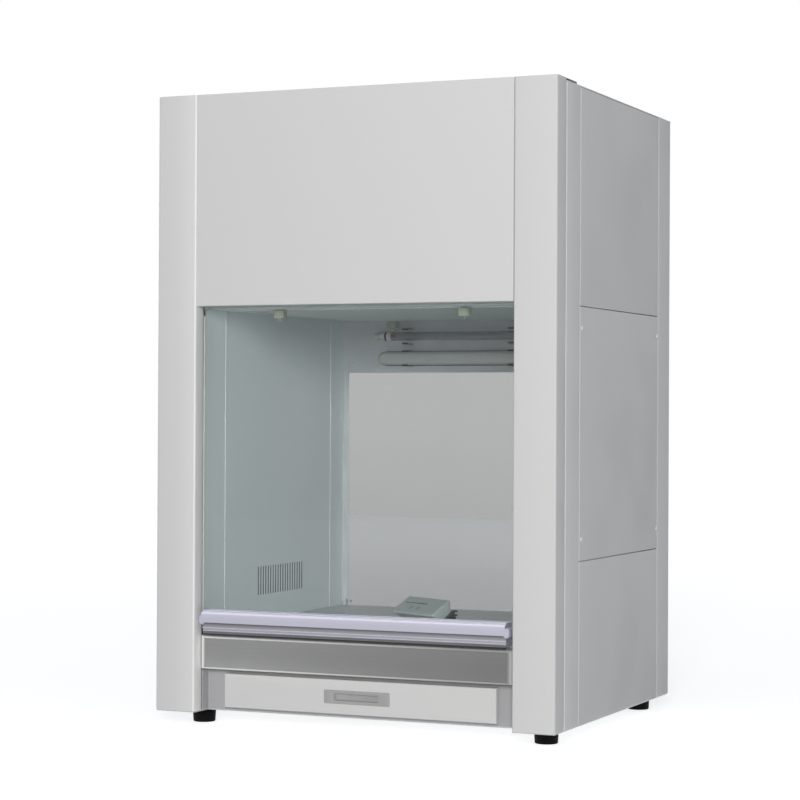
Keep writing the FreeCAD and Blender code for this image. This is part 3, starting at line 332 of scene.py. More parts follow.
def highlightBendMask(tree, gain):
    # 0 on a face towards the front, 1 on the bends round it, where a painted highlight goes
    return maths(tree, "MULTIPLY", maths(tree, "SUBTRACT", 1.0, facing(tree, "Y", -1.0)), gain, clamp=True)


def coated(name, m):
    # powder coat, moulded plastic, rubber, foam or paper: slow drift, edges a little paler, wiped marks,
    # and orange peel or a fine tooth; some finishes add painted light that makes faces towards +x lighter
    material, tree, surface = startMaterial(name, m["colour"], m["roughness"], 0.0, m["specular"])
    factors = [placeGroup(tree, driftGroup, Scale=m["driftScale"], Amount=m["drift"])[0]]
    # painted light: faces turned towards +x are made lighter
    if "sideGain" in m:
        factors.append(gained(tree, facing(tree, "X", 2.0), m["sideGain"]))
    base = tint(tree, m["colour"], *factors)
    pale = opaque([min(1.0, v * m["edgeLift"]) for v in m["colour"]])
    wear = placeGroup(tree, wearGroup, Radius=m["edge"], Gain=m["edgeGain"])[0]
    high = m["roughness"] + m["marks"]
    marks = placeGroup(tree, smudgeGroup, Scale=m["markScale"], Low=m["roughness"], High=high)[0]
    feed(tree, surface, {"Base Color": mixColour(tree, wear, base, pale), "Roughness": marks})
    addBump(tree, surface, placeGroup(tree, peelGroup, Scale=m["toothScale"])[0], m["tooth"])
    return material


def brushed(name, m):
    # brushed sheet: grain lines in tone, roughness and bump, with slow drift and wiped marks; some finishes
    # add painted shade along an axis, some a painted highlight on upward faces, one a painted highlight on
    # its bends
    metallic = m["metallic"]
    material, tree, surface = startMaterial(name, m["colour"], m["roughness"], metallic)
    grain = placeGroup(tree, grainGroup, Stretch=m["stretch"], Strength=m["grain"])
    factors = [grain["Tone"], placeGroup(tree, driftGroup, Scale=m["driftScale"], Amount=m["drift"])[0]]
    # painted shade: the colour darkens along an axis
    if "fade" in m:
        factors.append(fadeAlong(tree, *m["fade"]))
    # painted highlight: faces turned upwards are made lighter
    if "upGain" in m:
        factors.append(gained(tree, facing(tree, "Z", 1.0), m["upGain"]))
    base = tint(tree, m["colour"], *factors)
    # painted highlight: the bends take a bright colour, fading along an axis, and lose most of their metallic
    if "bend" in m:
        mask = highlightBendMask(tree, m["bendReach"])
        base = mixColour(tree, mask, base, tint(tree, m["bend"], fadeAlong(tree, *m["bendFade"])))
        fall = maths(tree, "MULTIPLY", mask, 0.9 * metallic)
        feed(tree, surface, {"Metallic": maths(tree, "SUBTRACT", metallic, fall)})
    marks = placeGroup(tree, smudgeGroup, Scale=m["markScale"], Low=0.0, High=m["marks"])[0]
    scatter = maths(tree, "MULTIPLY", grain["Lines"], m["grain"] * 0.5)
    rough = maths(tree, "ADD", maths(tree, "ADD", scatter, marks), m["roughness"])
    feed(tree, surface, {"Base Color": base, "Roughness": rough})
    addBump(tree, surface, grain["Lines"], m["bump"])
    return material


def clearPane(name, m):
    # glass that lets lamps through: tinted Transparent for shadow and diffuse rays, else Principled glass
    material, tree, surface = startMaterial(name, m["colour"], m["roughness"])
    marks = placeGroup(tree, smudgeGroup, Scale=m["markScale"], Low=0.0, High=m["marks"])[0]
    feed(tree, surface, {"Transmission Weight": 1.0, "IOR": m["ior"], "Roughness": marks})
    # painted shade: the tint darkens along an axis
    if "fade" in m:
        feed(tree, surface, {"Base Color": tint(tree, m["colour"], fadeAlong(tree, *m["fade"]))})
    path = addNode(tree, "ShaderNodeLightPath").outputs
    share = maths(tree, "MAXIMUM", path["Is Shadow Ray"], path["Is Diffuse Ray"])
    through = addNode(tree, "ShaderNodeBsdfTransparent", {"Color": opaque(m["shadow"])}).outputs["BSDF"]
    mix = addNode(tree, "ShaderNodeMixShader", {"Fac": share, 1: surface.outputs["BSDF"], 2: through})
    feed(tree, tree.nodes["Material Output"], {"Surface": mix.outputs[0]})
    return material


grainX, grainZ, grainNone = (14, 1100, 1100), (1100, 1100, 14), (160, 160, 160)
coat = {"colour": (0.650, 0.645, 0.640), "roughness": 0.42, "specular": 0.5, "driftScale": 1.6,
        "drift": 0.012, "edge": 0.0016, "edgeGain": 3.0, "edgeLift": 1.16, "markScale": 6.0, "marks": 0.07,
        "toothScale": 620.0, "tooth": 0.00002}
plastic = {"colour": (0.5, 0.5, 0.5), "roughness": 0.45, "specular": 0.5, "driftScale": 12.0, "drift": 0.03,
           "edge": 0.0012, "edgeGain": 2.5, "edgeLift": 1.2, "markScale": 14.0, "marks": 0.1,
           "toothScale": 1500.0, "tooth": 0.00001}
steel = {"colour": (0.27, 0.27, 0.268), "roughness": 0.34, "metallic": 0.9, "stretch": grainX, "grain": 0.22,
         "driftScale": 2.2, "drift": 0.06, "markScale": 7.0, "marks": 0.08, "bump": 0.000006}
pane = {"roughness": 0.02, "markScale": 5.0}

# each kind of finish: what makes it, its usual values, and what each finish of the kind changes
finishKinds = (
    (coated, coat, {
        "coat": {},
        # a darker copy of the coat: painted shade on the recessed base front
        "coatShade": {"colour": (0.40, 0.40, 0.41)},
        # the coat with painted light on faces towards +x, for the left post's inner return
        "coatReturn": {"sideGain": 0.36},
        "coatLight": {"colour": (0.72, 0.715, 0.71)},
        "motorCoat": {"colour": (0.06, 0.065, 0.07), "tooth": 0.00008, "edgeLift": 1.8},
    }),
    (brushed, steel, {
        # apron: painted shade darkening to the right, and a painted highlight on its bends that fades to the
        # right
        "apronSteel": {"fade": ("X", -0.28, 0.28, 1.04, 0.66), "bend": (0.92, 0.92, 0.91), "bendReach": 12.0,
                       "bendFade": ("X", -0.22, 0.20, 1.0, 0.5)},
        "linerSteel": {"colour": (0.76, 0.82, 0.83), "metallic": 0.15, "roughness": 0.42, "stretch": grainZ,
                       "grain": 0.08},
        # lamp band: painted shade darkening towards the right
        "bandSteel": {"colour": (0.42, 0.43, 0.45), "metallic": 0.35, "roughness": 0.45, "grain": 0.08,
                      "fade": ("X", -0.28, 0.28, 1.16, 0.56)},
        "worktopSteel": {"colour": (0.50, 0.53, 0.54), "roughness": 0.38, "metallic": 0.7},
        "ceilingSteel": {"colour": (0.66, 0.70, 0.69), "metallic": 0.4, "roughness": 0.5},
        "zincSheet": {"colour": (0.50, 0.52, 0.53), "grain": 0.12, "drift": 0.16, "driftScale": 30.0,
                      "stretch": grainNone},
        "wheelAluminium": {"colour": (0.66, 0.66, 0.66), "metallic": 1.0, "roughness": 0.36},
        # sash rail: painted highlight on its upward faces
        "railSilver": {"colour": (0.51, 0.50, 0.59), "metallic": 0.35, "roughness": 0.3, "grain": 0.05,
                       "drift": 0.02, "upGain": 1.3},
        # rail inlay: painted shade darkening towards the top, under the grip's overhang
        "stripSilver": {"colour": (0.36, 0.355, 0.39), "metallic": 0.35, "grain": 0.05,
                        "fade": ("Z", 0.1655, 0.1725, 1.0, 0.35)},
        "cableSteel": {"colour": (0.55, 0.55, 0.56), "metallic": 1.0, "stretch": grainZ},
        "weightSteel": {"colour": (0.10, 0.105, 0.11), "stretch": grainZ},
        "beadSteel": {"colour": (0.72, 0.74, 0.74), "metallic": 0.3, "roughness": 0.35, "stretch": grainZ,
                      "grain": 0.05},
        "screwSteel": {"colour": (0.60, 0.60, 0.60), "roughness": 0.3, "grain": 0.05},
    }),
    (coated, plastic, {
        # dark grey for the strip under the rail: painted shadow
        "sealDark": {"colour": (0.15, 0.15, 0.155), "roughness": 0.6},
        "capPlastic": {"colour": (0.52, 0.51, 0.61), "roughness": 0.32},
        "nylon": {"colour": (0.72, 0.72, 0.68)},
        "filterPaper": {"colour": (0.80, 0.80, 0.76), "roughness": 0.85, "tooth": 0.00006,
                        "toothScale": 500.0},
        "foam": {"colour": (0.05, 0.05, 0.05), "roughness": 0.9, "tooth": 0.0002, "toothScale": 420.0},
        "lampCover": {"colour": (0.42, 0.43, 0.42), "roughness": 0.3, "edgeLift": 1.4},
        "holderPlastic": {"colour": (0.55, 0.57, 0.54), "roughness": 0.4},
        "creamPlastic": {"colour": (0.37, 0.39, 0.33), "roughness": 0.4},
        "boxPlastic": {"colour": (0.37, 0.415, 0.405), "roughness": 0.42},
        "keyPlastic": {"colour": (0.24, 0.28, 0.27), "roughness": 0.4},
        "pullPlastic": {"colour": (0.37, 0.37, 0.372)},
        "blackPlastic": {"colour": (0.012, 0.012, 0.013), "roughness": 0.4, "edgeLift": 2.5},
        # near-black for the plates behind the grille slots: painted shade
        "gauzeDark": {"colour": (0.014, 0.020, 0.019), "roughness": 0.8, "specular": 0.1},
        "sealGrey": {"colour": (0.45, 0.47, 0.47), "roughness": 0.5},
        "filament": {"colour": (0.42, 0.16, 0.12), "roughness": 0.5},
        "darkSlit": {"colour": (0.02, 0.06, 0.05), "roughness": 0.25},
        "rubber": {"colour": (0.003, 0.003, 0.003), "roughness": 0.62, "specular": 0.12, "edgeLift": 1.6,
                   "tooth": 0.00004},
    }),
    (clearPane, pane, {
        "sashGlass": {"colour": (0.93, 0.965, 0.955), "shadow": (0.97, 0.985, 0.98), "ior": 1.30,
                      "marks": 0.004},
        # rear window: tint darkened towards the bottom as painted shade
        "windowGlass": {"colour": (0.445, 0.437, 0.437), "shadow": (0.80, 0.80, 0.80), "ior": 1.2,
                        "marks": 0.0, "fade": ("Z", 0.16, 0.50, 0.84, 1.02)},
        "tubeGlass": {"colour": (0.86, 0.86, 0.88), "shadow": (0.8, 0.8, 0.8), "ior": 1.3, "marks": 0.1},
    }),
)
finishes = {
    name: make(name, {**usual, **changes})
    for make, usual, kinds in finishKinds
    for name, changes in kinds.items()
}
print("materials ready:", len(finishes))


def dress(obj, finish):
    obj.data.materials.clear()
    obj.data.materials.append(finishes[finish])


nodeFinish = {
    "coat": "front_post_left front_post_right channel_covers rear_post_left rear_post_right "
            "side_panel_upper_left side_panel_upper_right service_panel_left service_panel_right "
            "side_panel_lower_left side_panel_lower_right fascia top_cover back_panel rear_window_frame "
            "drawer_front intake_grille",
    "coatShade": "base_front",
    "linerSteel": "side_liner_left side_liner_right",
    "bandSteel": "rear_liner",
    "worktopSteel": "worktop",
    "ceilingSteel": "ceiling_frame diffuser",
    "zincSheet": "fan_deck blower_housing base_pan drawer_tray filter_frame pulley_brackets",
    "motorCoat": "blower_motor",
    "wheelAluminium": "impeller sash_tracks",
    "filterPaper": "filter_media prefilter",
    "foam": "filter_gasket",
    "sashGlass": "sash_glass",
    "windowGlass": "rear_window",
    "railSilver": "sash_rail sash_top_bar",
    "capPlastic": "rail_end_caps",
    "nylon": "sash_glides pulley_left pulley_right",
    "cableSteel": "sash_cables panel_screws",
    "weightSteel": "counterweight_left counterweight_right",
    "tubeGlass": "uv_lamp",
    "lampCover": "work_lamp",
    "holderPlastic": "lampholders",
    "creamPlastic": "diffuser_clips",
    "blackPlastic": "lamp_clips control_box_hook power_inlet",
    "boxPlastic": "control_box",
    "keyPlastic": "key_fan key_lamp",
    "pullPlastic": "drawer_pull",
    "rubber": "feet",
}
for finish, names in nodeFinish.items():
    for name in names.split():
        dress(nodes[name], finish)
print("frame dressed")


# Mesh helpers. A part is its points and its faces


def putMesh(name, points, faces, finish, body, smoothAngle=40.0):
    # a closed mesh with its normals turned outwards; edges sharper than smoothAngle stay crisp
    mesh = bpy.data.meshes.new(name)
    mesh.from_pydata(np.asarray(points, float).tolist(), [], faces)
    work = bmesh.new()
    work.from_mesh(mesh)
    bmesh.ops.recalc_face_normals(work, faces=work.faces)
    work.to_mesh(mesh)
    work.free()
    mesh.shade_smooth()
    mesh.set_sharp_from_angle(angle=math.radians(smoothAngle))
    obj = bpy.data.objects.new(name, mesh)
    bpy.context.scene.collection.objects.link(obj)
    dress(obj, finish)
    if body:
        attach(obj, body)
    return obj


def ringFaces(rows, columns, closed=False):
    # quads between neighbouring loops of points; closed joins the last loop to the first
    v, u = np.meshgrid(np.arange(rows if closed else rows - 1), np.arange(columns), indexing="ij")
    nextV, nextU = (v + 1) % rows, (u + 1) % columns
    quads = np.stack([v * columns + u, v * columns + nextU, nextV * columns + nextU, nextV * columns + u], -1)
    return quads.reshape(-1, 4).tolist()


def skin(loops, closed=False):
    # loops as an array (rows, columns, 3); open rows end in a flat face at each end
    loops = np.asarray(loops)
    rows, columns = loops.shape[:2]
    faces = ringFaces(rows, columns, closed)
    if not closed:
        faces.append(list(range(columns))[::-1])
        faces.append(list(range((rows - 1) * columns, rows * columns)))
    return loops.reshape(-1, 3), faces


def joinMeshes(parts):
    points, faces, offset = [], [], 0
    for p, f in parts:
        points.append(np.asarray(p).reshape(-1, 3))
        faces += [[i + offset for i in face] for face in f]
        offset += len(points[-1])
    return np.concatenate(points), faces


def stamped(part, places):
    # copies of one part at several places
    points, faces = part
    return joinMeshes([(points + np.asarray(place), faces) for place in places])


def mirroredX(part):
    points, faces = part
    return points * np.array([-1.0, 1.0, 1.0]), [face[::-1] for face in faces]


def bothSides(part):
    return joinMeshes([part, mirroredX(part)])


def sided(part, side):
    return part if side == "right" else mirroredX(part)


def roundedLoop(corners, radii, steps):
    # each corner becomes an arc: from one tangent point to the other about a centre on the bisector,
    # at radius / sin(half the corner's angle) from the corner
    p = np.asarray(corners, float)
    r = np.broadcast_to(np.asarray(radii, float), len(p))[:, None]
    a, b = np.roll(p, 1, 0) - p, np.roll(p, -1, 0) - p
    a /= np.linalg.norm(a, axis=1, keepdims=True)
    b /= np.linalg.norm(b, axis=1, keepdims=True)
    half = np.arccos(np.clip((a * b).sum(1, keepdims=True), -1, 1)) / 2
    middle = (a + b) / np.linalg.norm(a + b, axis=1, keepdims=True)
    centre = p + middle * r / np.sin(half)
    first, last = p + a * r / np.tan(half) - centre, p + b * r / np.tan(half) - centre
    sweep = (np.pi - 2 * half)[:, None]
    t = np.linspace(0, 1, steps)[None, :, None]
    arc = (np.sin((1 - t) * sweep) * first[:, None] + np.sin(t * sweep) * last[:, None]) / np.sin(sweep)
    return (centre[:, None] + arc).reshape(-1, 2)


def roundedBox(x0, y0, x1, y1, radius, steps=4):
    return roundedLoop([(x0, y0), (x1, y0), (x1, y1), (x0, y1)], radius, steps)


def lifted(flat, axis, at):
    # a flat outline as points at one place on an axis
    return np.insert(flat, axis, at, axis=1)


def carried(loop, axis, low, high, ease=0.0, steps=5):
    # a closed outline carried along an axis from low to high; ease rounds the two ends by drawing them in
    middle = (loop.max(0) + loop.min(0)) / 2
    half = np.maximum((loop.max(0) - loop.min(0)) / 2, 1e-9)
    turn = np.linspace(0, np.pi / 2, steps) if ease > 0 else np.array([np.pi / 2])
    inset, depth = ease * (1 - np.sin(turn)), ease * (1 - np.cos(turn))
    rows = [*zip(low + depth, inset), *zip((high - depth)[::-1], inset[::-1])]
    return skin([lifted(middle + (loop - middle) * (1 - drawn / half), axis, at) for at, drawn in rows])


def foldedSheet(path, thickness, bend, axis, low, high, rim=0.0002):
    # a folded sheet carried along an axis: the path, then the same path shifted to its left, bends rounded
    p = np.asarray(path, float)
    step = np.diff(p, axis=0)
    step /= np.linalg.norm(step, axis=1, keepdims=True)
    normal = np.stack([-step[:, 1], step[:, 0]], 1)
    shift = np.concatenate([normal[:1], normal[:-1] + normal[1:], normal[-1:]])
    turn = np.cross(step[:-1], step[1:])
    outside = np.where(turn > 0, bend, bend - thickness)
    inside = np.where(turn > 0, bend - thickness, bend)
    radii = np.concatenate([[rim], outside, [rim, rim], inside[::-1], [rim]])
    outline = roundedLoop(np.concatenate([p, (p + shift * thickness)[::-1]]), radii, 5)
    return carried(outline, axis, low, high)


def framed(local, place, axis):
    # points whose own third direction becomes the axis, with their origin at the place
    n = Vector(axis).normalized()
    side = n.orthogonal().normalized()
    return local @ np.array([side, n.cross(side), n]) + np.asarray(place, float)


def turned(profile, place, axis, count):
    # a profile of (radius, height) rows turned about an axis through the place
    angle = np.linspace(0, 2 * np.pi, count, endpoint=False)
    r, h = np.asarray(profile, float).T
    radius, height = r[:, None], np.repeat(h[:, None], count, 1)
    local = np.stack([radius * np.cos(angle), radius * np.sin(angle), height], -1)
    return skin(framed(local, place, axis))


pressing = {"thickness": 0.0015, "corner": 0.0010, "leastCorner": 0.0002, "steps": 6}


def pressedPanel(low, high, outward, depth, bends, hole=None, p=pressing):
    # a panel with folded edges: rounded rectangles from the outer face over the bends to the rim and back
    # inside. outward is the outer face's direction, such as "+x"; bends are for the low and high edge along
    # the first other axis, then along the second; hole is a rounded rectangle cut through the face
    axis, sign = "xyz".index(outward[1]), 1 if outward[0] == "+" else -1
    low, high = np.asarray(low, float), np.asarray(high, float)
    (x0, y0), (x1, y1) = np.delete(low, axis), np.delete(high, axis)
    t, deepest = p["thickness"], max(bends)
    turn = np.linspace(0, np.pi / 2, p["steps"])
    loops = []

    def addLoop(insets, down):
        left, right, bottom, top = insets
        corner = max(p["corner"] - min(insets), p["leastCorner"])
        loops.append((roundedBox(x0 + left, y0 + bottom, x1 - right, y1 - top, corner), down))

    for angle in turn:
        addLoop([r * (1 - np.sin(angle)) for r in bends], deepest * (1 - np.cos(angle)))
    addLoop([0.0] * 4, depth)
    addLoop([t] * 4, depth)
    for angle in turn[::-1]:
        addLoop([t + max(r - t, 0) * (1 - np.sin(angle)) for r in bends],
                t + max(deepest - t, 0) * (1 - np.cos(angle)))
    if hole is not None:
        (left, bottom), (right, top), radius = hole
        cut = roundedBox(left, bottom, right, top, radius)
        loops += [(cut, t), (cut, 0.0)]
    outer = high[axis] if sign > 0 else low[axis]
    return skin([lifted(flat, axis, outer - sign * down) for flat, down in loops], closed=hole is not None)


def softBlock(low, high, axis, corner, ease=0.0, steps=5):
    # a block with rounded edges along an axis and eased ends
    loop = roundedBox(*np.delete(low, axis), *np.delete(high, axis), corner, steps)
    return carried(loop, axis, low[axis], high[axis], ease)


def ringFrame(low, high, axis, width, corner=0.002):
    # a rectangular ring round the box's faces along an axis, as wide as given towards the middle
    loops = []
    for inset, at in ((0, low[axis]), (0, high[axis]), (width, high[axis]), (width, low[axis])):
        flat = roundedBox(*(np.delete(low, axis) + inset), *(np.delete(high, axis) - inset), corner)
        loops.append(lifted(flat, axis, at))
    return skin(loops, closed=True)


def camel(node):
    first, *rest = node.split("_")
    return first + "".join(word.title() for word in rest)


def stand(node, part, finish, body="cabinet", smoothAngle=40.0):
    # the part takes the place of a CAD node
    piece = putMesh(camel(node), *part, finish, body, smoothAngle)
    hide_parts(node)


def addTrim(name, part, finish, body="cabinet"):
    # a small part beside the CAD nodes
    putMesh(name, *part, finish, body)


# Outer sheet metal: the posts, covers and panels with softly bent edges

sheetMetal = {"fold": 0.012, "coverFold": 0.008, "thickness": 0.0015, "postBend": 0.0030, "coverBend": 0.0020,
              "baseBend": 0.0034, "postReturn": 0.026, "lowerFold": 0.0245, "drawerGap": 0.003,
              "drawerHalf": 0.2285, "sideBends": (0.0040, 0.0022, 0.0012, 0.0012),
              "faceBends": (0.0016, 0.0016, 0.0026, 0.0020), "rearBends": (0.0016,) * 4,
              "inletRim": (0.004, 0.003), "inletCorner": 0.001, "paneRim": 0.001, "paneCorner": 0.003}


def makePosts(s):
    t, fold = s["thickness"], s["fold"]
    for side in ("right", "left"):
        low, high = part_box("front_post_right")
        path = [(low.x, low.y + s["postReturn"]), (low.x, low.y), (high.x, low.y), (high.x, high.y),
                (high.x - fold, high.y)]
        column = foldedSheet(path, t, s["postBend"], 2, low.z, high.z)
        top = (high.x - t, high.y - t, high.z - 0.0002)
        cap = softBlock((low.x + t, low.y + t, high.z - t), top, 2, 0.001, 0.0003)
        # the left post's inner return gets painted light
        stand("front_post_" + side, sided(joinMeshes([column, cap]), side),
              "coatReturn" if side == "left" else "coat")
        low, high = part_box("rear_post_right")
        path = [(high.x - fold, low.y), (high.x, low.y), (high.x, high.y), (low.x, high.y),
                (low.x, high.y - fold)]
        column = foldedSheet(path, t, s["postBend"], 2, low.z, high.z)
        stand("rear_post_" + side, sided(column, side), "coat")
    low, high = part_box("channel_covers")
    inner = high.x - s["coverFold"]
    path = [(inner, low.y), (high.x, low.y), (high.x, high.y), (inner, high.y)]
    strip = foldedSheet(path, t, s["coverBend"], 2, low.z, high.z)
    stand("channel_covers", bothSides(strip), "coatLight")


def makePanels(s):
    t, fold = s["thickness"], s["fold"]
    for kind in ("side_panel_upper", "service_panel", "side_panel_lower"):
        low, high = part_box(kind + "_right")
        panel = pressedPanel(low, high, "+x", fold, s["sideBends"])
        for side in ("right", "left"):
            stand(f"{kind}_{side}", sided(panel, side), "coat")
    low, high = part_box("fascia")
    face = pressedPanel(low, high, "-y", fold, s["faceBends"])
    rear = low.y + s["lowerFold"]
    shelf = softBlock((low.x, low.y + fold - 0.001, low.z), (high.x, rear, low.z + t), 0, 0.0004)
    stand("fascia", joinMeshes([face, shelf]), "coat")
    low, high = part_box("base_front")
    tray, gap, half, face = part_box("drawer_tray"), s["drawerGap"], s["drawerHalf"], high.y - fold
    path = [(half, face), (high.x - t, face), (high.x - t, low.y)]
    end = foldedSheet(path, t, s["baseBend"], 2, low.z, high.z)
    strips = [softBlock((-half, face, z0), (half, face + t, z1), 0, 0.0003)
              for z0, z1 in ((low.z, tray[0].z - gap), (tray[1].z + gap, high.z))]
    shelf = softBlock((low.x + t, face, high.z - t), (high.x - t, high.y, high.z), 0, 0.0004)
    # the base front takes the darker copy of the coat: painted shade in the recess
    stand("base_front", joinMeshes([end, mirroredX(end), *strips, shelf]), "coatShade")
    for node, filling, rimX, rimZ, corner, depth in (
        ("back_panel", "power_inlet", *s["inletRim"], s["inletCorner"], fold),
        ("rear_window_frame", "rear_window", s["paneRim"], s["paneRim"], s["paneCorner"], None),
    ):
        low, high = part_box(node)
        least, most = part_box(filling)
        hole = ((least.x + rimX, least.z + rimZ), (most.x - rimX, most.z - rimZ), corner)
        panel = pressedPanel(low, high, "+y", depth or high.y - low.y, s["rearBends"], hole)
        stand(node, panel, "coat")


makePosts(sheetMetal)
makePanels(sheetMetal)
print("outer sheet metal ready")


# Worktop with its rounded apron

worktop = {"sheet": 0.0012, "stepAt": 0.040, "apronTop": 0.151, "apronSetback": 0.015, "tuck": 0.0006,
           "bends": (0.014, 0.014, 0.0042, 0.0042), "sheetBend": 0.0025}


def makeWorktop(w):
    low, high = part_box("worktop")
    step = low.y - w["apronSetback"] + w["stepAt"]
    path = [(high.y, high.z), (step, high.z), (step, w["apronTop"] - w["tuck"])]
    flat = foldedSheet(path, w["sheet"], w["sheetBend"], 0, low.x, high.x)
    stand("worktop", flat, "worktopSteel")
    apron = pressedPanel(low, (high.x, step, w["apronTop"]), "-y", step - low.y + w["sheet"], w["bends"])
    addTrim("worktopApron", apron, "apronSteel")


makeWorktop(worktop)


# Sash rail with its inlay, bright lines, dark strips under it as painted shadow, and end caps. The CAD box's
# front face lies at depth gripFace, its base at height 0

rail = {"strip": 0.0163, "grip": 0.0341, "lip": 0.0365, "gripFace": 0.0015, "lipFace": 0.0070,
        "stripFace": 0.0080, "beadFace": 0.0072, "beadTop": 0.0022, "slot": (0.0292, 0.0342),
        "slotFloor": 0.0050, "stripGroove": 0.0008, "lipGroove": 0.0006, "lines": (0.0034, 0.0077),
        "lineHalf": 0.0006,
        # heights of the dark strips under the rail, which paint its shadow
        "seals": ((-0.0042, -0.0018), (-0.0016, 0.0022)), "capInner": 0.2625, "capInset": 0.0003,
        "capCorner": 0.0036, "capEase": 0.0042}


def makeRail(r):
    low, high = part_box("sash_rail")
    front, base = low.y - r["gripFace"], low.z
    rear, bead, beadTop, strip = high.y - front, r["beadFace"], r["beadTop"], r["stripFace"]
    lip, top, (slotFrom, slotTo) = r["lipFace"], r["lip"], r["slot"]
    stripIn, lipIn = strip + r["stripGroove"], lip + r["lipGroove"]
    # (depth, height, radius) of each corner, from the rear foot round the front
    corners = [
        (rear, 0.0, 0.0012), (bead, 0.0, 0.0014), (bead, beadTop, 0.0012), (stripIn, beadTop, 0.0003),
        (stripIn, beadTop + 0.0009, 0.0003), (strip, beadTop + 0.0014, 0.0003), (strip, r["strip"], 0.0010),
        (r["gripFace"], r["strip"], 0.0012), (r["gripFace"], r["grip"], 0.0042), (lipIn, r["grip"], 0.0003),
        (lipIn, r["grip"] + 0.0009, 0.0002), (lip, r["grip"] + 0.0012, 0.0002), (lip, top, 0.0008),
        (slotFrom, top, 0.0004), (slotFrom, r["slotFloor"], 0.0002), (slotTo, r["slotFloor"], 0.0002),
        (slotTo, top, 0.0004), (rear, top, 0.0008),
    ]
    loop = roundedLoop([c[:2] for c in corners], [c[2] for c in corners], 6) + (front, base)
    stand("sash_rail", carried(loop, 0, low.x, high.x), "railSilver", "sash")

    def bar(inset, depths, heights, corner=0.0003):
        # a thin bar along the rail, its depths counted from the strip's face
        y0, y1 = (front + strip + depth for depth in depths)
        z0, z1 = (base + height for height in heights)
        return softBlock((low.x + inset, y0, z0), (high.x - inset, y1, z1), 0, corner)

    inlay = bar(0.0002, (-0.0003, 0.0002), (beadTop + 0.0012, r["strip"] - 0.0002), 0.0002)
    addTrim("railInlay", inlay, "stripSilver", "sash")
    lines = [bar(0.0002, (-0.0008, 0.0), (z - r["lineHalf"], z + r["lineHalf"])) for z in r["lines"]]
    addTrim("railLines", joinMeshes(lines), "railSilver", "sash")
    # dark strips along the rail's foot: painted shadow over the gap above the apron
    shadowStripLip, seal = (bar(0.0006, (-0.0016, 0.0004), heights) for heights in r["seals"])
    addTrim("railShadowStripLip", shadowStripLip, "blackPlastic", "sash")
    addTrim("railSeal", seal, "sealDark", "sash")
    low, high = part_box("rail_end_caps")
    inset = r["capInset"]
    low, high = (r["capInner"], low.y + inset, low.z + inset), (high.x, high.y - inset, high.z - inset)
    cap = softBlock(low, high, 0, r["capCorner"], r["capEase"], 7)
    stand("rail_end_caps", bothSides(cap), "capPlastic", "sash")


makeRail(rail)


# Drawer front and its recessed pull

drawer = {"bends": (0.0026, 0.0026, 0.0022, 0.0022), "holeRim": 0.003, "holeCorner": 0.0015,
          "rimEase": 0.0011, "raised": 0.0005, "frame": 0.0014, "draft": 0.0012, "floorLift": 0.0004,
          "pocketWidth": 0.078, "pocketHeight": 0.011, "pocketDepth": 0.005}


def makeDrawer(d):
    low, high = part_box("drawer_front")
    least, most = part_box("drawer_pull")
    rim = d["holeRim"]
    hole = ((least.x + rim, least.z + rim), (most.x - rim, most.z - rim), d["holeCorner"])
    stand("drawer_front", pressedPanel(low, high, "-y", high.y - low.y, d["bends"], hole), "coat",
          "drawer")
    middle = (least.z + most.z) / 2
    x, z = most.x, most.z - middle
    px, pz, floor = d["pocketWidth"] / 2, d["pocketHeight"] / 2, low.y + d["pocketDepth"]
    face, ease, f, drop = least.y, d["rimEase"], d["frame"], d["draft"]
    # half width, half height, depth and corner radius of each loop, from the back over the bezel to the floor
    rows = [
        (x - rim, z - rim, most.y, 0.0012), (x - rim, z - rim, low.y, 0.0012), (x, z, low.y, 0.0020),
        (x, z, face + ease, 0.0020), (x - ease * 0.3, z - ease * 0.3, face + ease * 0.3, 0.0018),
        (x - ease, z - ease, face, 0.0016), (px + f + 0.0008, pz + f + 0.0008, face, 0.0016),
        (px + f, pz + f, face + d["raised"], 0.0015), (px + f / 2, pz + f / 2, face + d["raised"], 0.0013),
        (px + 0.0002, pz + 0.0002, face, 0.0012), (px, pz, face + 0.0006, 0.0012),
        (px - drop, pz - drop * 0.4, floor - 0.0012, 0.0012),
        (px - drop - 0.001, pz - drop, floor - d["floorLift"], 0.001),
    ]
    loops = [lifted(roundedBox(-a, -b, a, b, radius, 5) + (0, middle), 1, y) for a, b, y, radius in rows]
    stand("drawer_pull", skin(loops), "pullPlastic", "drawer")


makeDrawer(drawer)
print("front pieces ready")


# Feet, panel screws and small trims

feet = {"radius": 0.020, "foot": 0.0185, "height": 0.025, "groove": 0.0008,
        "places": ((-0.305, -0.209), (0.305, -0.209), (-0.305, 0.263), (0.305, 0.263))}
screws = {"radius": 0.0038, "height": 0.0022, "cross": 0.0022, "arm": 0.00042, "deep": 0.0010, "rings": 13,
          "spokes": 48, "inset": 0.008, "low": 0.035, "high": 0.0345, "roofX": 0.341, "roofFront": 0.038,
          "roofBack": 0.060, "backRim": 0.020, "backLevels": (0.057, 0.624)}
trims = {"barX": (-0.0120, 0.0003), "barY": (0.0004, 0.0445), "barHeight": 0.0033, "beadX": (0.0113, 0.0124),
         "beadY": (-0.187, 0.2255), "beadHalf": 0.0010, "beadZ": (0.1605, 0.6885), "sealInset": 0.0056,
         "sealY": (-0.0008, -0.0001), "sealWidth": 0.0028, "rivetX": 0.262, "rivetY": 0.282,
         "rivetZ": (0.612, 0.603, 0.168), "clip": ((-0.2755, 0.2740, 0.1602), (-0.2675, 0.2815, 0.1720)),
         "clipRivet": (-0.2715, 0.2740, 0.1665),
         "rivet": ((0.0024, 0.0), (0.0021, 0.0005), (0.0012, 0.0011), (0.0003, 0.0013))}


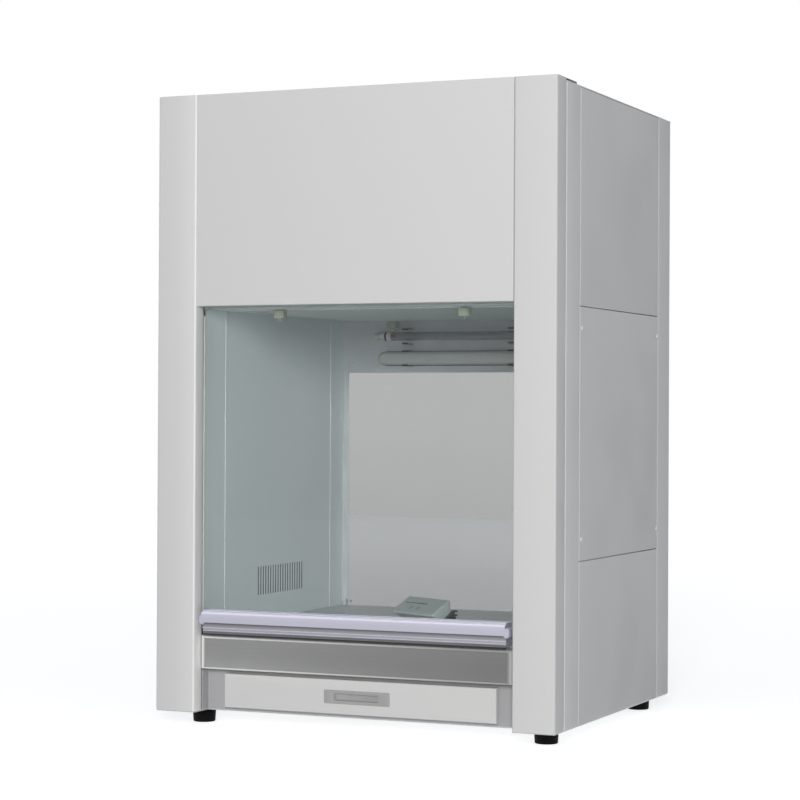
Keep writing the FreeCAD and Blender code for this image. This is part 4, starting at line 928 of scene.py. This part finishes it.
def makeFeet(f):
    r0, r1, h, g = f["foot"], f["radius"], f["height"], f["groove"]
    profile = [(0.004, 0.0012), (0.0042, 0.0), (r0 - 0.0016, 0.0), (r0 - 0.0005, 0.0005), (r0, 0.0016),
               (r1 - 0.0005, h - 0.0052), (r1 - g, h - 0.0046), (r1 - g, h - 0.0038),
               (r1 - 0.0002, h - 0.0032), (r1, h - 0.0012), (r1 - 0.0006, h)]
    foot = turned(profile, (0, 0, 0), (0, 0, 1), 48)
    stand("feet", stamped(foot, [(x, y, 0) for x, y in f["places"]]), "rubber")


def screwHead(place, direction, s):
    # pan head as a polar height field: z = h (1 - 3/4 (r/R)^4), lowered in the cross recess
    radius = np.linspace(0.04, 1.0, s["rings"])[:, None]
    angle = np.linspace(0, 2 * np.pi, s["spokes"], endpoint=False)[None, :]
    x, y = s["radius"] * radius * np.cos(angle), s["radius"] * radius * np.sin(angle)
    dome = s["height"] * (1 - 0.75 * radius ** 4) * np.ones_like(angle)
    arm = np.minimum(np.abs(x), np.abs(y)) < s["arm"]
    inside = np.maximum(np.abs(x), np.abs(y)) < s["cross"]
    rows = np.stack([x, y, dome - np.where(arm & inside, s["deep"], 0.0)], -1)
    base = rows[-1:] * (1, 1, 0)
    return skin(framed(np.concatenate([rows, base]), place, direction))


def makeScrews(s):
    low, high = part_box("service_panel_right")
    heads = []
    for y in (low.y + s["inset"], high.y - s["inset"]):
        for z in (low.z + s["low"], high.z - s["high"]):
            heads += [((high.x, y, z), (1, 0, 0)), ((-high.x, y, z), (-1, 0, 0))]
    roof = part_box("top_cover")[1]
    for y in (s["roofFront"], roof.y - s["roofBack"]):
        heads += [((side * s["roofX"], y, roof.z), (0, 0, 1)) for side in (-1, 1)]
    low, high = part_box("back_panel")
    for z in (low.z + s["backRim"], high.z - s["backRim"], *s["backLevels"]):
        heads += [((side * (high.x - s["inset"]), high.y, z), (0, 1, 0)) for side in (-1, 1)]
    parts = [screwHead(place, direction, s) for place, direction in heads]
    stand("panel_screws", joinMeshes(parts), "screwSteel", smoothAngle=35.0)


def makeTrims(t):
    low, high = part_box("channel_covers")
    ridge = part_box("top_cover")[1].z
    (x0, x1), (y0, y1) = t["barX"], t["barY"]
    bar = softBlock((high.x + x0, low.y + y0, ridge), (high.x + x1, low.y + y1, ridge + t["barHeight"]), 1,
                    0.0007, 0.0006)
    addTrim("sideTopBars", bothSides(bar), "blackPlastic")
    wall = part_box("side_liner_right")[0].x
    (x0, x1), (z0, z1), half = t["beadX"], t["beadZ"], t["beadHalf"]
    beads = [softBlock((wall + x0, y - half, z0), (wall + x1, y + half, z1), 2, 0.0004) for y in t["beadY"]]
    addTrim("linerBeads", bothSides(joinMeshes(beads)), "beadSteel")
    low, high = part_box("rear_window")
    inset, (y0, y1) = t["sealInset"], t["sealY"]
    least, most = (low.x + inset, low.y + y0, low.z + inset), (high.x - inset, low.y + y1, high.z - inset)
    addTrim("windowSeal", ringFrame(least, most, 1, t["sealWidth"]), "sealGrey")
    rivets = [turned(t["rivet"], (side * t["rivetX"], t["rivetY"], z), (0, -1, 0), 16)
              for side in (-1, 1) for z in t["rivetZ"]]
    addTrim("linerRivets", joinMeshes(rivets), "screwSteel")
    clip = [softBlock(*t["clip"], 2, 0.0012, 0.0010), turned(t["rivet"], t["clipRivet"], (0, -1, 0), 16)]
    addTrim("windowClip", joinMeshes(clip), "sealGrey")


makeFeet(feet)
makeScrews(screws)
makeTrims(trims)


# Return grille: pressed collars with rounded ends round the liner's slots, and a near-black plate behind them
# as painted shade in the slots

grille = {"count": 19, "pitch": 0.0095, "first": -0.063, "low": 0.2015, "height": 0.050, "slot": 0.0039,
          "wall": 0.279, "wallDepth": 0.0014, "collar": 0.0004, "proud": 0.00015, "shadePlateDepth": 0.0001,
          "gauze": 0.0002, "shadePlateCorner": 0.0018}


def makeGrille(g):
    wall, half, tall, middle = g["wall"], g["slot"] / 2, g["height"] / 2, g["low"] + g["height"] / 2
    loops = []
    # how far each loop lies outside the slot and in front of the wall
    for grow, out in ((g["collar"], 0.0), (g["collar"] * 0.6, g["proud"]), (0.0, g["proud"] * 0.7),
                      (0.0, -g["wallDepth"])):
        a, b = half + grow, tall + grow
        loops.append(lifted(roundedBox(-a, -b, a, b, a * 0.98, 6) + (0, middle), 0, wall - out))
    places = [(0, g["first"] + n * g["pitch"], 0) for n in range(g["count"])]
    collars = stamped(skin(loops, closed=True), places)
    addTrim("returnGrille", bothSides(collars), "linerSteel")
    # a near-black plate just behind each slot: painted shade
    near = wall + g["shadePlateDepth"]
    plate = softBlock((near, -half, g["low"]), (near + g["gauze"], half, g["low"] + g["height"]), 0,
                      g["shadePlateCorner"])
    addTrim("grilleShadePlate", bothSides(stamped(plate, places)), "gauzeDark")


makeGrille(grille)


# Diffuser of expanded metal: each strand is a zigzag ribbon that meets its neighbours at the peaks

expanded = {"pitch": 0.012, "row": 0.0062, "strand": 0.0011, "thickness": 0.0010, "border": 0.010,
            "overlap": 0.001, "swing": 0.49}


def makeDiffuser(m):
    low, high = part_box("diffuser")
    inset = m["border"] - m["overlap"]
    x0, x1, y0, y1 = low.x + inset, high.x - inset, low.y + inset, high.y - inset
    count = int(round((x1 - x0) / m["pitch"] * 2))
    rows = int(round((y1 - y0) / m["row"]))
    x = np.linspace(x0, x1, count + 1)
    y = np.linspace(y0, y1, rows + 1)
    row, station = np.meshgrid(np.arange(rows), np.arange(count + 1), indexing="ij")
    swing = np.where((row + station) % 2 == 0, m["swing"], -m["swing"]) * (y[1] - y[0])
    centre = (y[:-1] + y[1:])[:, None] / 2 + swing
    half, z0, z1 = m["strand"] / 2, high.z - m["thickness"], high.z
    section = np.array([(-half, z0), (half, z0), (half, z1), (-half, z1)])
    ribbons = np.empty((rows, count + 1, 4, 3))
    ribbons[..., 0] = x[None, :, None]
    ribbons[..., 1] = centre[..., None] + section[:, 0]
    ribbons[..., 2] = section[:, 1]
    faces = np.asarray(ringFaces(count + 1, 4))
    allFaces = (faces[None] + (np.arange(rows) * (count + 1) * 4)[:, None, None]).reshape(-1, 4)
    net = (ribbons.reshape(-1, 3), allFaces.tolist())
    parts = [ringFrame(low, high, 2, m["border"]), net]
    stand("diffuser", joinMeshes(parts), "ceilingSteel", smoothAngle=20.0)


makeDiffuser(expanded)


# Diffuser clips, lamps, lampholders and spring clips. Profiles are rows of (radius, distance)

clips = {"x": (-0.165, 0.165), "half": 0.009, "drop": 0.015,
         "stud": ((0.0002, 0.0040), (0.0010, 0.0039), (0.0014, 0.0034), (0.0014, 0.0)),
         "washer": ((0.0015, 0.0006), (0.0031, 0.0006), (0.0033, 0.0004), (0.0033, 0.0))}
lamps = {"tubeRadius": 0.0076, "capRadius": 0.0080, "wall": 0.0009, "from": -0.1830, "to": 0.1050,
         "axisY": 0.260, "axisZ": 0.660, "pinOffset": 0.0024, "liner": 0.2819, "footFrom": 0.004,
         "footTo": 0.018, "footHalf": 0.006, "coverZ": 0.6197, "coverHalf": 0.01265, "coverEase": 0.0062,
         "clipX": (-0.143, 0.065), "clipY": 0.256, "clipSheet": 0.0012, "clipWidth": 0.012,
         "clipHalf": 0.0145, "clipBend": 0.0016, "clipLip": 0.003, "coilTurns": 5, "coilRadius": 0.0011,
         "coilDepth": 0.0215, "coilHalf": 0.0032, "wire": 0.00035,
         "mount": ((0.0002, 0.0118), (0.0034, 0.0120), (0.0030, 0.0150), (0.0012, 0.0200), (0.0002, 0.0202)),
         "barrel": ((0.0030, 0.0002), (0.0070, 0.0002), (0.0074, 0.0008), (0.0074, 0.0100), (0.0068, 0.0106),
                    (0.0052, 0.0110), (0.0052, 0.0128), (0.0068, 0.0132), (0.0074, 0.0138), (0.0073, 0.0190),
                    (0.0062, 0.0222), (0.0046, 0.0238), (0.0020, 0.0240)),
         "seal": ((0.0060, 0.0004), (0.0081, 0.0004), (0.0083, -0.0006), (0.0083, -0.0030),
                  (0.0079, -0.0034))}


def makeClips(c):
    low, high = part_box("diffuser_clips")
    half, drop = c["half"], c["drop"]
    spots = [(x, y) for x in c["x"] for y in (low.y + half, high.y - half)]
    blocks = [softBlock((x - half, y - half, high.z - drop), (x + half, y + half, high.z - 0.0014), 2, 0.0030,
                        0.0016) for x, y in spots]
    stand("diffuser_clips", joinMeshes(blocks), "creamPlastic")
    for name, profile, finish, recordSlot in (
        ("diffuserStuds", c["stud"], "screwSteel", "cable_steel"),
        ("diffuserWashers", c["washer"], "blackPlastic", "spring_steel_black"),
    ):
        parts = [turned(profile, (x, y, high.z - drop), (0, 0, -1), 20) for x, y in spots]
        addTrim(name, joinMeshes(parts), finish)


def alongTube(profile, end, way, c):
    # a profile turned about the tube's axis, its distances counted from the tube's end
    rows = [(radius, end + way * distance) for radius, distance in profile]
    return turned(rows, (0, c["axisY"], c["axisZ"]), (1, 0, 0), 36)


def makeTube(c):
    y, z, r, k, inner = c["axisY"], c["axisZ"], c["tubeRadius"], c["capRadius"], c["tubeRadius"] - c["wall"]
    x0, x1 = c["from"], c["to"]
    glass = [(inner, x0 + 0.011), (r - 0.0002, x0 + 0.011), (r, x0 + 0.0125), (r, x1 - 0.0125),
             (r - 0.0002, x1 - 0.011), (inner, x1 - 0.011), (inner - 0.0001, x1 - 0.0125),
             (inner - 0.0001, x0 + 0.0125)]
    rows = alongTube(glass, 0.0, 1, c)[0].reshape(len(glass), -1, 3)
    stand("uv_lamp", skin(rows, closed=True), "tubeGlass")
    caps, stems = [], []
    cap = [(0.001, 0.0), (k - 0.0010, 0.0), (k - 0.0002, 0.0005), (k, 0.0014), (k, 0.0095),
           (k - 0.0004, 0.0106), (k - 0.0004, 0.0118), (0.004, 0.0120)]
    t = np.linspace(0, 1, 90)
    angle = 2 * np.pi * c["coilTurns"] * t
    around = np.linspace(0, 2 * np.pi, 6, endpoint=False)
    ring = c["wire"] * np.stack([np.cos(around), np.sin(around), np.zeros(6)], 1)
    for end, way in ((x0, 1), (x1, -1)):
        pin = [(0.0004, -way * 0.006), (0.0010, -way * 0.0056), (0.0012, -way * 0.005), (0.0012, 0.0)]
        caps.append(alongTube(cap, end, way, c))
        caps += [turned(pin, (end, y, z + side), (1, 0, 0), 12) for side in (-c["pinOffset"], c["pinOffset"])]
        # filament: a helix about the tube's cross direction, between the two lead wires
        path = np.stack([end + way * (c["coilDepth"] + c["coilRadius"] * np.sin(angle)),
                         y + c["coilRadius"] * np.cos(angle), z - c["coilHalf"] + 2 * c["coilHalf"] * t], 1)
        stems += [alongTube(c["mount"], end, way, c), skin(path[:, None] + ring[None])]
    addTrim("uvLampCaps", joinMeshes(caps), "holderPlastic")
    addTrim("uvLampFilaments", joinMeshes(stems), "filament")


def makeHolders(c):
    y, z, half = c["axisY"], c["axisZ"], c["footHalf"]
    parts, rings = [], []
    for end, way in ((c["from"], -1), (c["to"], 1)):
        x0, x1 = sorted((end + way * c["footFrom"], end + way * c["footTo"]))
        parts.append(alongTube(c["barrel"], end, way, c))
        parts.append(softBlock((x0, y, z - half), (x1, c["liner"], z + half), 1, 0.0018, 0.0006))
        rings.append(alongTube(c["seal"], end, way, c))
    stand("lampholders", joinMeshes(parts), "holderPlastic")
    addTrim("lampholderSeals", joinMeshes(rings), "blackPlastic")


def makeCover(c):
    # opal cover: stadium loops from the liner forwards, the front edge rounded; a dark seat under it
    low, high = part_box("work_lamp")
    centre = ((low.x + high.x) / 2, c["coverZ"])

    def stadium(inset, y):
        a, b = (high.x - low.x) / 2 - inset, c["coverHalf"] - inset
        return lifted(roundedBox(-a, -b, a, b, b * 0.999, 12) + centre, 1, y)

    edge = c["coverEase"]
    rows = [stadium(0.0004, high.y), stadium(0.0004, high.y - 0.004)]
    rows += [stadium(0.0004 + edge * (1 - np.cos(a)), low.y + edge * (1 - np.sin(a)))
             for a in np.linspace(0, np.pi / 2, 7)]
    stand("work_lamp", skin(rows), "lampCover")
    seat = [stadium(-0.0009, high.y), stadium(-0.0009, high.y - 0.0022), stadium(0.0003, high.y - 0.0026)]
    addTrim("workLampSeat", skin(seat), "blackPlastic")


def makeSpringClips(c):
    parts, half = [], c["clipWidth"] / 2
    for level in (c["axisZ"], c["coverZ"]):
        for x in c["clipX"]:
            for side in (-1, 1):
                edge = level + side * c["clipHalf"]
                path = [(c["liner"], edge), (c["clipY"], edge), (c["clipY"], edge - side * c["clipLip"])]
                parts.append(foldedSheet(path[::side], c["clipSheet"], c["clipBend"], 0, x - half, x + half))
    stand("lamp_clips", joinMeshes(parts), "blackPlastic")


makeClips(clips)
makeTube(lamps)
makeHolders(lamps)
makeCover(lamps)
makeSpringClips(lamps)
print("lamps ready")


# Control box: a soft wedge on the worktop

controlBox = {"width": 0.118, "depth": 0.042, "front": 0.013, "back": 0.036, "crown": 0.005, "turn": -30.0,
              "place": (-0.025, 0.062, 0.160), "corner": 0.0065, "edge": 0.0034, "undercut": 0.016,
              "feet": (0.0002, 0.0012), "slit": (-0.048, 0.015), "slitHalf": 0.0012, "slitAt": 0.027,
              "keys": (-0.017, 0.003), "keysAt": 0.014,
              "well": ((0.0040, -0.0006), (0.0046, -0.0006), (0.0046, 0.00012), (0.0040, 0.00012))}


def boxTurn(points, b):
    cos, sin = math.cos(math.radians(b["turn"])), math.sin(math.radians(b["turn"]))
    return points @ np.array([(cos, sin, 0), (-sin, cos, 0), (0, 0, 1)]) + np.asarray(b["place"])


def makeBox(b):
    # rounded rectangles in plan, up the side, over the edge and in over the slope
    # z = front + (y + depth/2) tan(a); the lowest two are shortened at the front,
    # y' = depth/2 - (depth/2 - y) (1 - undercut/depth)
    half = b["depth"] / 2
    slope = (b["back"] - b["front"]) / (b["depth"] - b["crown"])

    def loop(inset, lift, scale=1.0):
        x, y = b["width"] / 2 - inset, half - inset
        flat = roundedBox(-x, -y, x, y, max(b["corner"] - inset, 0.001), 7) * scale
        roof = np.minimum(b["front"] + (flat[:, 1] + half) * slope, b["back"])
        return np.column_stack([flat, roof - b["edge"] + lift])

    rows = [loop(0.0008, 0.0), loop(0.0, 0.0)]
    for foot, height in zip(rows, b["feet"]):
        foot[:, 2] = height
        foot[:, 1] = half - (half - foot[:, 1]) * (1 - b["undercut"] / b["depth"])
    rows += [loop(b["edge"] * (1 - np.cos(a)), b["edge"] * np.sin(a)) for a in np.linspace(0, np.pi / 2, 7)]
    rows += [loop(b["edge"], b["edge"], scale) for scale in np.linspace(0.9, 0.02, 10)]
    points, faces = skin(rows)
    stand("control_box", (boxTurn(points, b), faces), "boxPlastic")
    angle = math.atan(slope)
    along = np.array([0, math.cos(angle), math.sin(angle)])
    onFace = np.array([(1, 0, 0), along, (0, -math.sin(angle), math.cos(angle))])

    def laid(points, distance):
        # points on the slope, as far up it from its lower end
        return boxTurn(points @ onFace + np.array([0, -half, b["front"]]) + along * distance, b)

    (x0, x1), tall = b["slit"], b["slitHalf"]
    points, faces = softBlock((x0, -tall, -0.0006), (x1, tall, 0.00015), 2, 0.0010)
    addTrim("boxWindow", (laid(points, b["slitAt"]), faces), "darkSlit")
    rings = [turned(b["well"], (x, 0, 0), (0, 0, 1), 32)[0].reshape(4, 32, 3) for x in b["keys"]]
    wells = [skin(laid(ring, b["keysAt"]), closed=True) for ring in rings]
    addTrim("keyWells", joinMeshes(wells), "keyPlastic")


makeBox(controlBox)


# Cables: fixed arcs over the pulleys and two fixed runs on each side between body and pulley

cable = {"radius": 0.00075, "y": -0.2633, "pulleyZ": 1.011, "inner": 0.289, "outer": 0.325, "lug": 0.230,
         "weight": 0.9595, "tail": 0.010, "around": 12, "arcSteps": 25, "runSteps": 12}


def makeCables(c):
    angle = np.linspace(0, 2 * np.pi, c["around"], endpoint=False)
    aside, deep = c["radius"] * np.cos(angle), c["y"] + c["radius"] * np.sin(angle)
    turn = np.linspace(0, np.pi, c["arcSteps"])[:, None]
    radius = (c["outer"] - c["inner"]) / 2 + aside[None]
    arcs = []
    for sideways in (-1, 1):
        middle = sideways * (c["inner"] + c["outer"]) / 2
        arc = [middle + radius * np.cos(turn), np.broadcast_to(deep, radius.shape),
               c["pulleyZ"] + radius * np.sin(turn)]
        arcs.append(skin(np.stack(np.broadcast_arrays(*arc), -1)))
    stand("sash_cables", joinMeshes(arcs), "cableSteel")
    for side, sideways in (("right", 1), ("left", -1)):
        for label, x, low, tail, owner in (
            ("Rise", c["inner"], c["lug"], 0.0, "sash"),
            ("Drop", c["outer"], c["weight"], c["tail"], "counterweight_" + side),
        ):
            z = np.linspace(low - tail, c["pulleyZ"], c["runSteps"])[:, None]
            rows = np.stack(np.broadcast_arrays(sideways * x + aside, deep, z), -1)
            piece = putMesh("cable" + label + side.title(), *skin(rows), "cableSteel", None)
            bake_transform(piece)


makeCables(cable)
print("cables ready")
